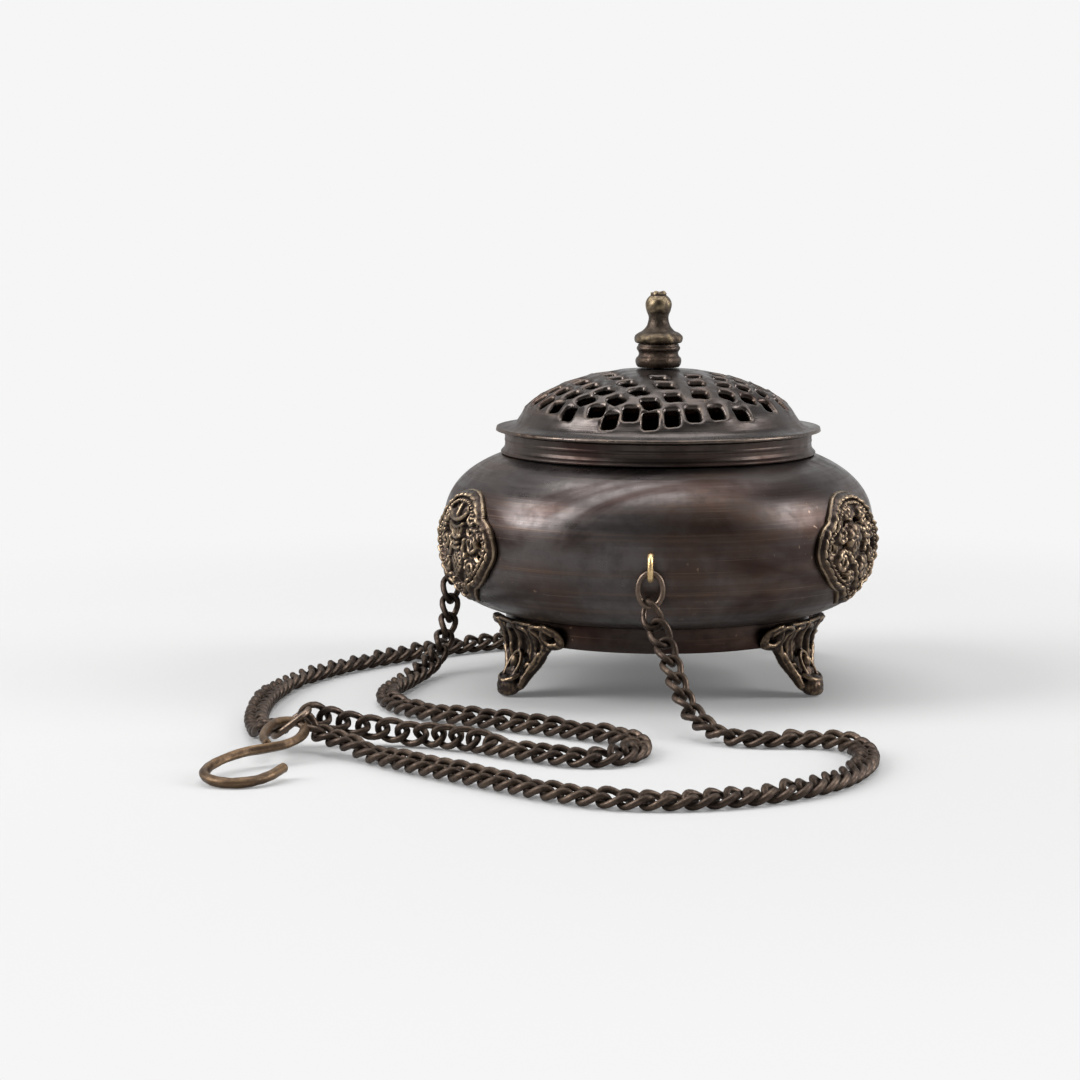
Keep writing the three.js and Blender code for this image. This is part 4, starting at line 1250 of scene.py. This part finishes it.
def foot(side, azimuth):
    tangent, outward = facing(azimuth)
    outline = evenly(np.vstack([spline(mirrored(FOOT_OUTLINE), 5), mirrored(FOOT_OUTLINE)[:1]]), 0.5)[:-1]
    xs, zs = np.arange(-18.2, 18.3, 0.3), np.arange(0.4, 23.5, 0.3)
    gx, gz = np.meshgrid(xs, zs, indexing="ij")
    flat = np.column_stack([gx.ravel(), gz.ravel()])
    lines = [(np.array([(0, 21.6), (0, 12.4)]), 0.9, 1.9)]
    for m in (-1, 1):
        lines += [
            (spline([(m * 1.9, 20.6), (m * 5.4, 19.6), (m * 5.9, 15.4), (m * 5.2, 11.6), (m * 3.0, 8.6)], 5), 1.0, 1.9),
            (spline([(m * 15.9, 16.6), (m * 13.4, 16.4), (m * 11.6, 18.2), (m * 13.0, 20.4), (m * 15.6, 20.0)], 6), 0.95, 1.9),
            (spline([(m * 15.6, 20.0), (m * 12.4, 21.6), (m * 8.6, 20.6), (m * 10.6, 17.4), (m * 10.6, 14.2), (m * 8.6, 10.6), (m * 6.2, 6.8)], 5), 1.1, 2.0),
            (spline([(m * 7.2, 20.4), (m * 7.0, 17.0), (m * 7.4, 13.2), (m * 5.8, 9.6), (m * 3.8, 5.8)], 5), 0.75, 1.6),
        ]

    def relief(p):
        edge, _ = polygon_field(p, outline)
        h = np.full(len(p), 0.9)
        for line, width, height in lines:
            d, s = distance_to(p, line)
            h = np.maximum(h, 0.7 + height * ridge(d, width * 1.05))
        h = np.maximum(h, 0.8 + 1.1 * ridge(edge - 0.8, 0.85))
        h += 0.16 * noise3(np.column_stack([p, np.full(len(p), azimuth)]), 0.5)
        holes = np.full(len(p), 50.0)
        for m in (-1, 1):
            for gap in ((3.5, 15.6, 0.95, 2.9, -6), (8.6, 15.2, 0.8, 2.0, -14), (4.2, 11.0, 0.6, 1.1, 20), (13.9, 18.3, 0.7, 0.6, 0)):
                cx, cz, ax, az, tilt = gap
                holes = np.minimum(holes, ellipse_field(p, m * cx, cz, ax, az, m * tilt))
        return h - 0.5 * np.clip(1 - holes / 0.6, 0, 1), edge, holes

    def placed(p, lift):
        r = foot_inner_r(p[:, 1]) + lift
        depth = np.sqrt(np.maximum(1, r**2 - p[:, 0] ** 2))
        return p[:, :1] * tangent + depth[:, None] * outward + p[:, 1:] * UP

    h, edge, holes = relief(flat)
    field = np.minimum(edge, holes).reshape(gx.shape)
    plate_v, plate_f, _ = level_mesh(xs, zs, field, lambda p: placed(p, relief(p)[0]), lambda p: placed(p, np.full(len(p), 0.05)))

    def at(u, z, r):
        return u * tangent + r * outward + z * UP

    parts = [(plate_v, plate_f)]
    parts.append(ball(at(0, 3.3, TOE_R - 0.1), (4.3, 3.2, 3.3), tangent, outward))
    parts.append(ball(at(0, 1.9, TOE_R + 1.0), (3.4, 1.8, 2.2), tangent, outward))
    parts.append(ball(at(0, 10.0, 50.0), (1.5, 2.3, 1.6), tangent, outward))
    parts.append(ball(at(0, 7.0, 50.8), (2.9, 1.8, 1.3), tangent, outward))
    lip = [at(-4.1, 6.8, 51.0), at(-3.2, 5.6, 53.4), at(0, 4.9, 54.7), at(3.2, 5.6, 53.4), at(4.1, 6.8, 51.0)]
    parts.append(tube(spline(lip, 6), 0.7, 10))
    for m in (-1, 1):
        leg = [at(m * 4.2, 3.0, 51.2), at(m * 5.0, 5.4, 50.4), at(m * 6.2, 8.2, 49.0), at(m * 8.2, 11.2, 47.9), at(m * 9.8, 13.6, 47.4)]
        parts.append(tube(spline(leg, 6), 1.0, 10))
        arch = [at(m * 2.1, 5.8, 52.8), at(m * 2.9, 8.0, 51.4), at(m * 2.6, 10.6, 49.8), at(m * 1.4, 12.6, 48.9), at(0, 13.2, 48.7)]
        parts.append(tube(spline(arch, 6), 0.6, 10))
    verts, faces = joined(parts)
    verts, faces = remeshed("cast", verts, faces, 0.3, 2)
    verts += 0.08 * noise3(verts, 0.9, azimuth)[:, None] * unit(verts * (1, 1, 0))
    verts[:, 2] = np.maximum(verts[:, 2], 0.0)
    build("cast_foot_" + side, verts, faces, FOOT, "censer", ["foot_" + side])


for side, azimuth in FEET.items():
    foot(side, azimuth)

# ---- Floor and light ----
BACKDROP = 0.92  # the paper behind, as the camera sees it
ROOM = 0.27  # the dim room that the metal reflects between the lamps


def floor():
    size = 12.0
    mesh = bpy.data.meshes.new("floor")
    mesh.from_pydata([(-size, -size, 0), (size, -size, 0), (size, size, 0), (-size, size, 0)], [], [(0, 1, 2, 3)])
    plane = bpy.data.objects.new("floor", mesh)
    plane.location.z = -0.00005
    scene.collection.objects.link(plane)
    m = Nodes("paper")
    x, y, _ = m.separate()
    reach = m.math("SQRT", m.math("ADD", m.math("MULTIPLY", x, x), m.math("MULTIPLY", y, y)))
    m.shader.inputs["Base Color"].default_value = (0.41, 0.41, 0.41, 1)
    m.shader.inputs["Roughness"].default_value = 0.75
    m.shader.inputs["Specular IOR Level"].default_value = 0.25
    backdrop_and_shadow_lift_glow = m.add("ShaderNodeEmission")
    backdrop_and_shadow_lift_glow.inputs["Color"].default_value = (BACKDROP, BACKDROP, BACKDROP, 1)
    fade = m.add("ShaderNodeMixShader")
    # far off the floor glows as the even backdrop; near the object a tenth of that glow stays, painted light that lifts
    # the shadows under the bowl
    m.link(m.ramp(reach, 0.14, 0.4, 0.1, 1.0), fade.inputs[0])
    m.tree.links.new(m.shader.outputs[0], fade.inputs[1])
    m.tree.links.new(backdrop_and_shadow_lift_glow.outputs[0], fade.inputs[2])
    m.tree.links.new(fade.outputs[0], m.tree.nodes["Material Output"].inputs["Surface"])
    mesh.materials.append(m.material)


def area_light(name, location, target, size, power, shade=(1, 1, 1)):
    data = bpy.data.lights.new(name, "AREA")
    data.shape = "RECTANGLE"
    data.size, data.size_y = size
    data.energy = power
    data.color = shade
    light = bpy.data.objects.new(name, data)
    light.location = location
    way = np.array(target) - np.array(location)
    light.rotation_mode = "QUATERNION"
    light.rotation_quaternion = Vector(way).to_track_quat("-Z", "Y")
    scene.collection.objects.link(light)


def studio():
    """A pale backdrop for the camera, and for the metal a dim room that is pale behind the object."""
    world = bpy.data.worlds.new("studio")
    scene.world = world
    world.use_nodes = True
    tree = world.node_tree
    shown = tree.nodes["Background"]
    shown.inputs["Color"].default_value = (BACKDROP, BACKDROP, BACKDROP, 1)
    room = tree.nodes.new("ShaderNodeBackground")
    direction = tree.nodes.new("ShaderNodeSeparateXYZ")
    tree.links.new(tree.nodes.new("ShaderNodeTexCoord").outputs["Generated"], direction.inputs[0])
    fade = tree.nodes.new("ShaderNodeMapRange")
    fade.interpolation_type = "SMOOTHSTEP"
    for socket, number in zip(("From Min", "From Max", "To Min", "To Max"), (0.0, 0.75, ROOM, BACKDROP)):
        fade.inputs[socket].default_value = number
    tree.links.new(direction.outputs["Y"], fade.inputs["Value"])
    tree.links.new(fade.outputs[0], room.inputs["Strength"])
    rays = tree.nodes.new("ShaderNodeLightPath")
    chosen = tree.nodes.new("ShaderNodeMixShader")
    tree.links.new(rays.outputs["Is Camera Ray"], chosen.inputs[0])
    tree.links.new(room.outputs[0], chosen.inputs[1])
    tree.links.new(shown.outputs[0], chosen.inputs[2])
    tree.links.new(chosen.outputs[0], tree.nodes["World Output"].inputs["Surface"])


floor()
studio()
area_light("overhead", (0.0, 0.1, 1.3), (0, 0, 0), (1.3, 1.1), 17)
area_light("left_box", (-1.15, -0.25, 0.75), (0, 0, 0.05), (0.7, 1.0), 25)
area_light("right_box", (1.2, -0.1, 0.6), (0, 0, 0.05), (0.5, 0.8), 16)
scene.view_settings.view_transform = "Standard"
scene.view_settings.look = "None"
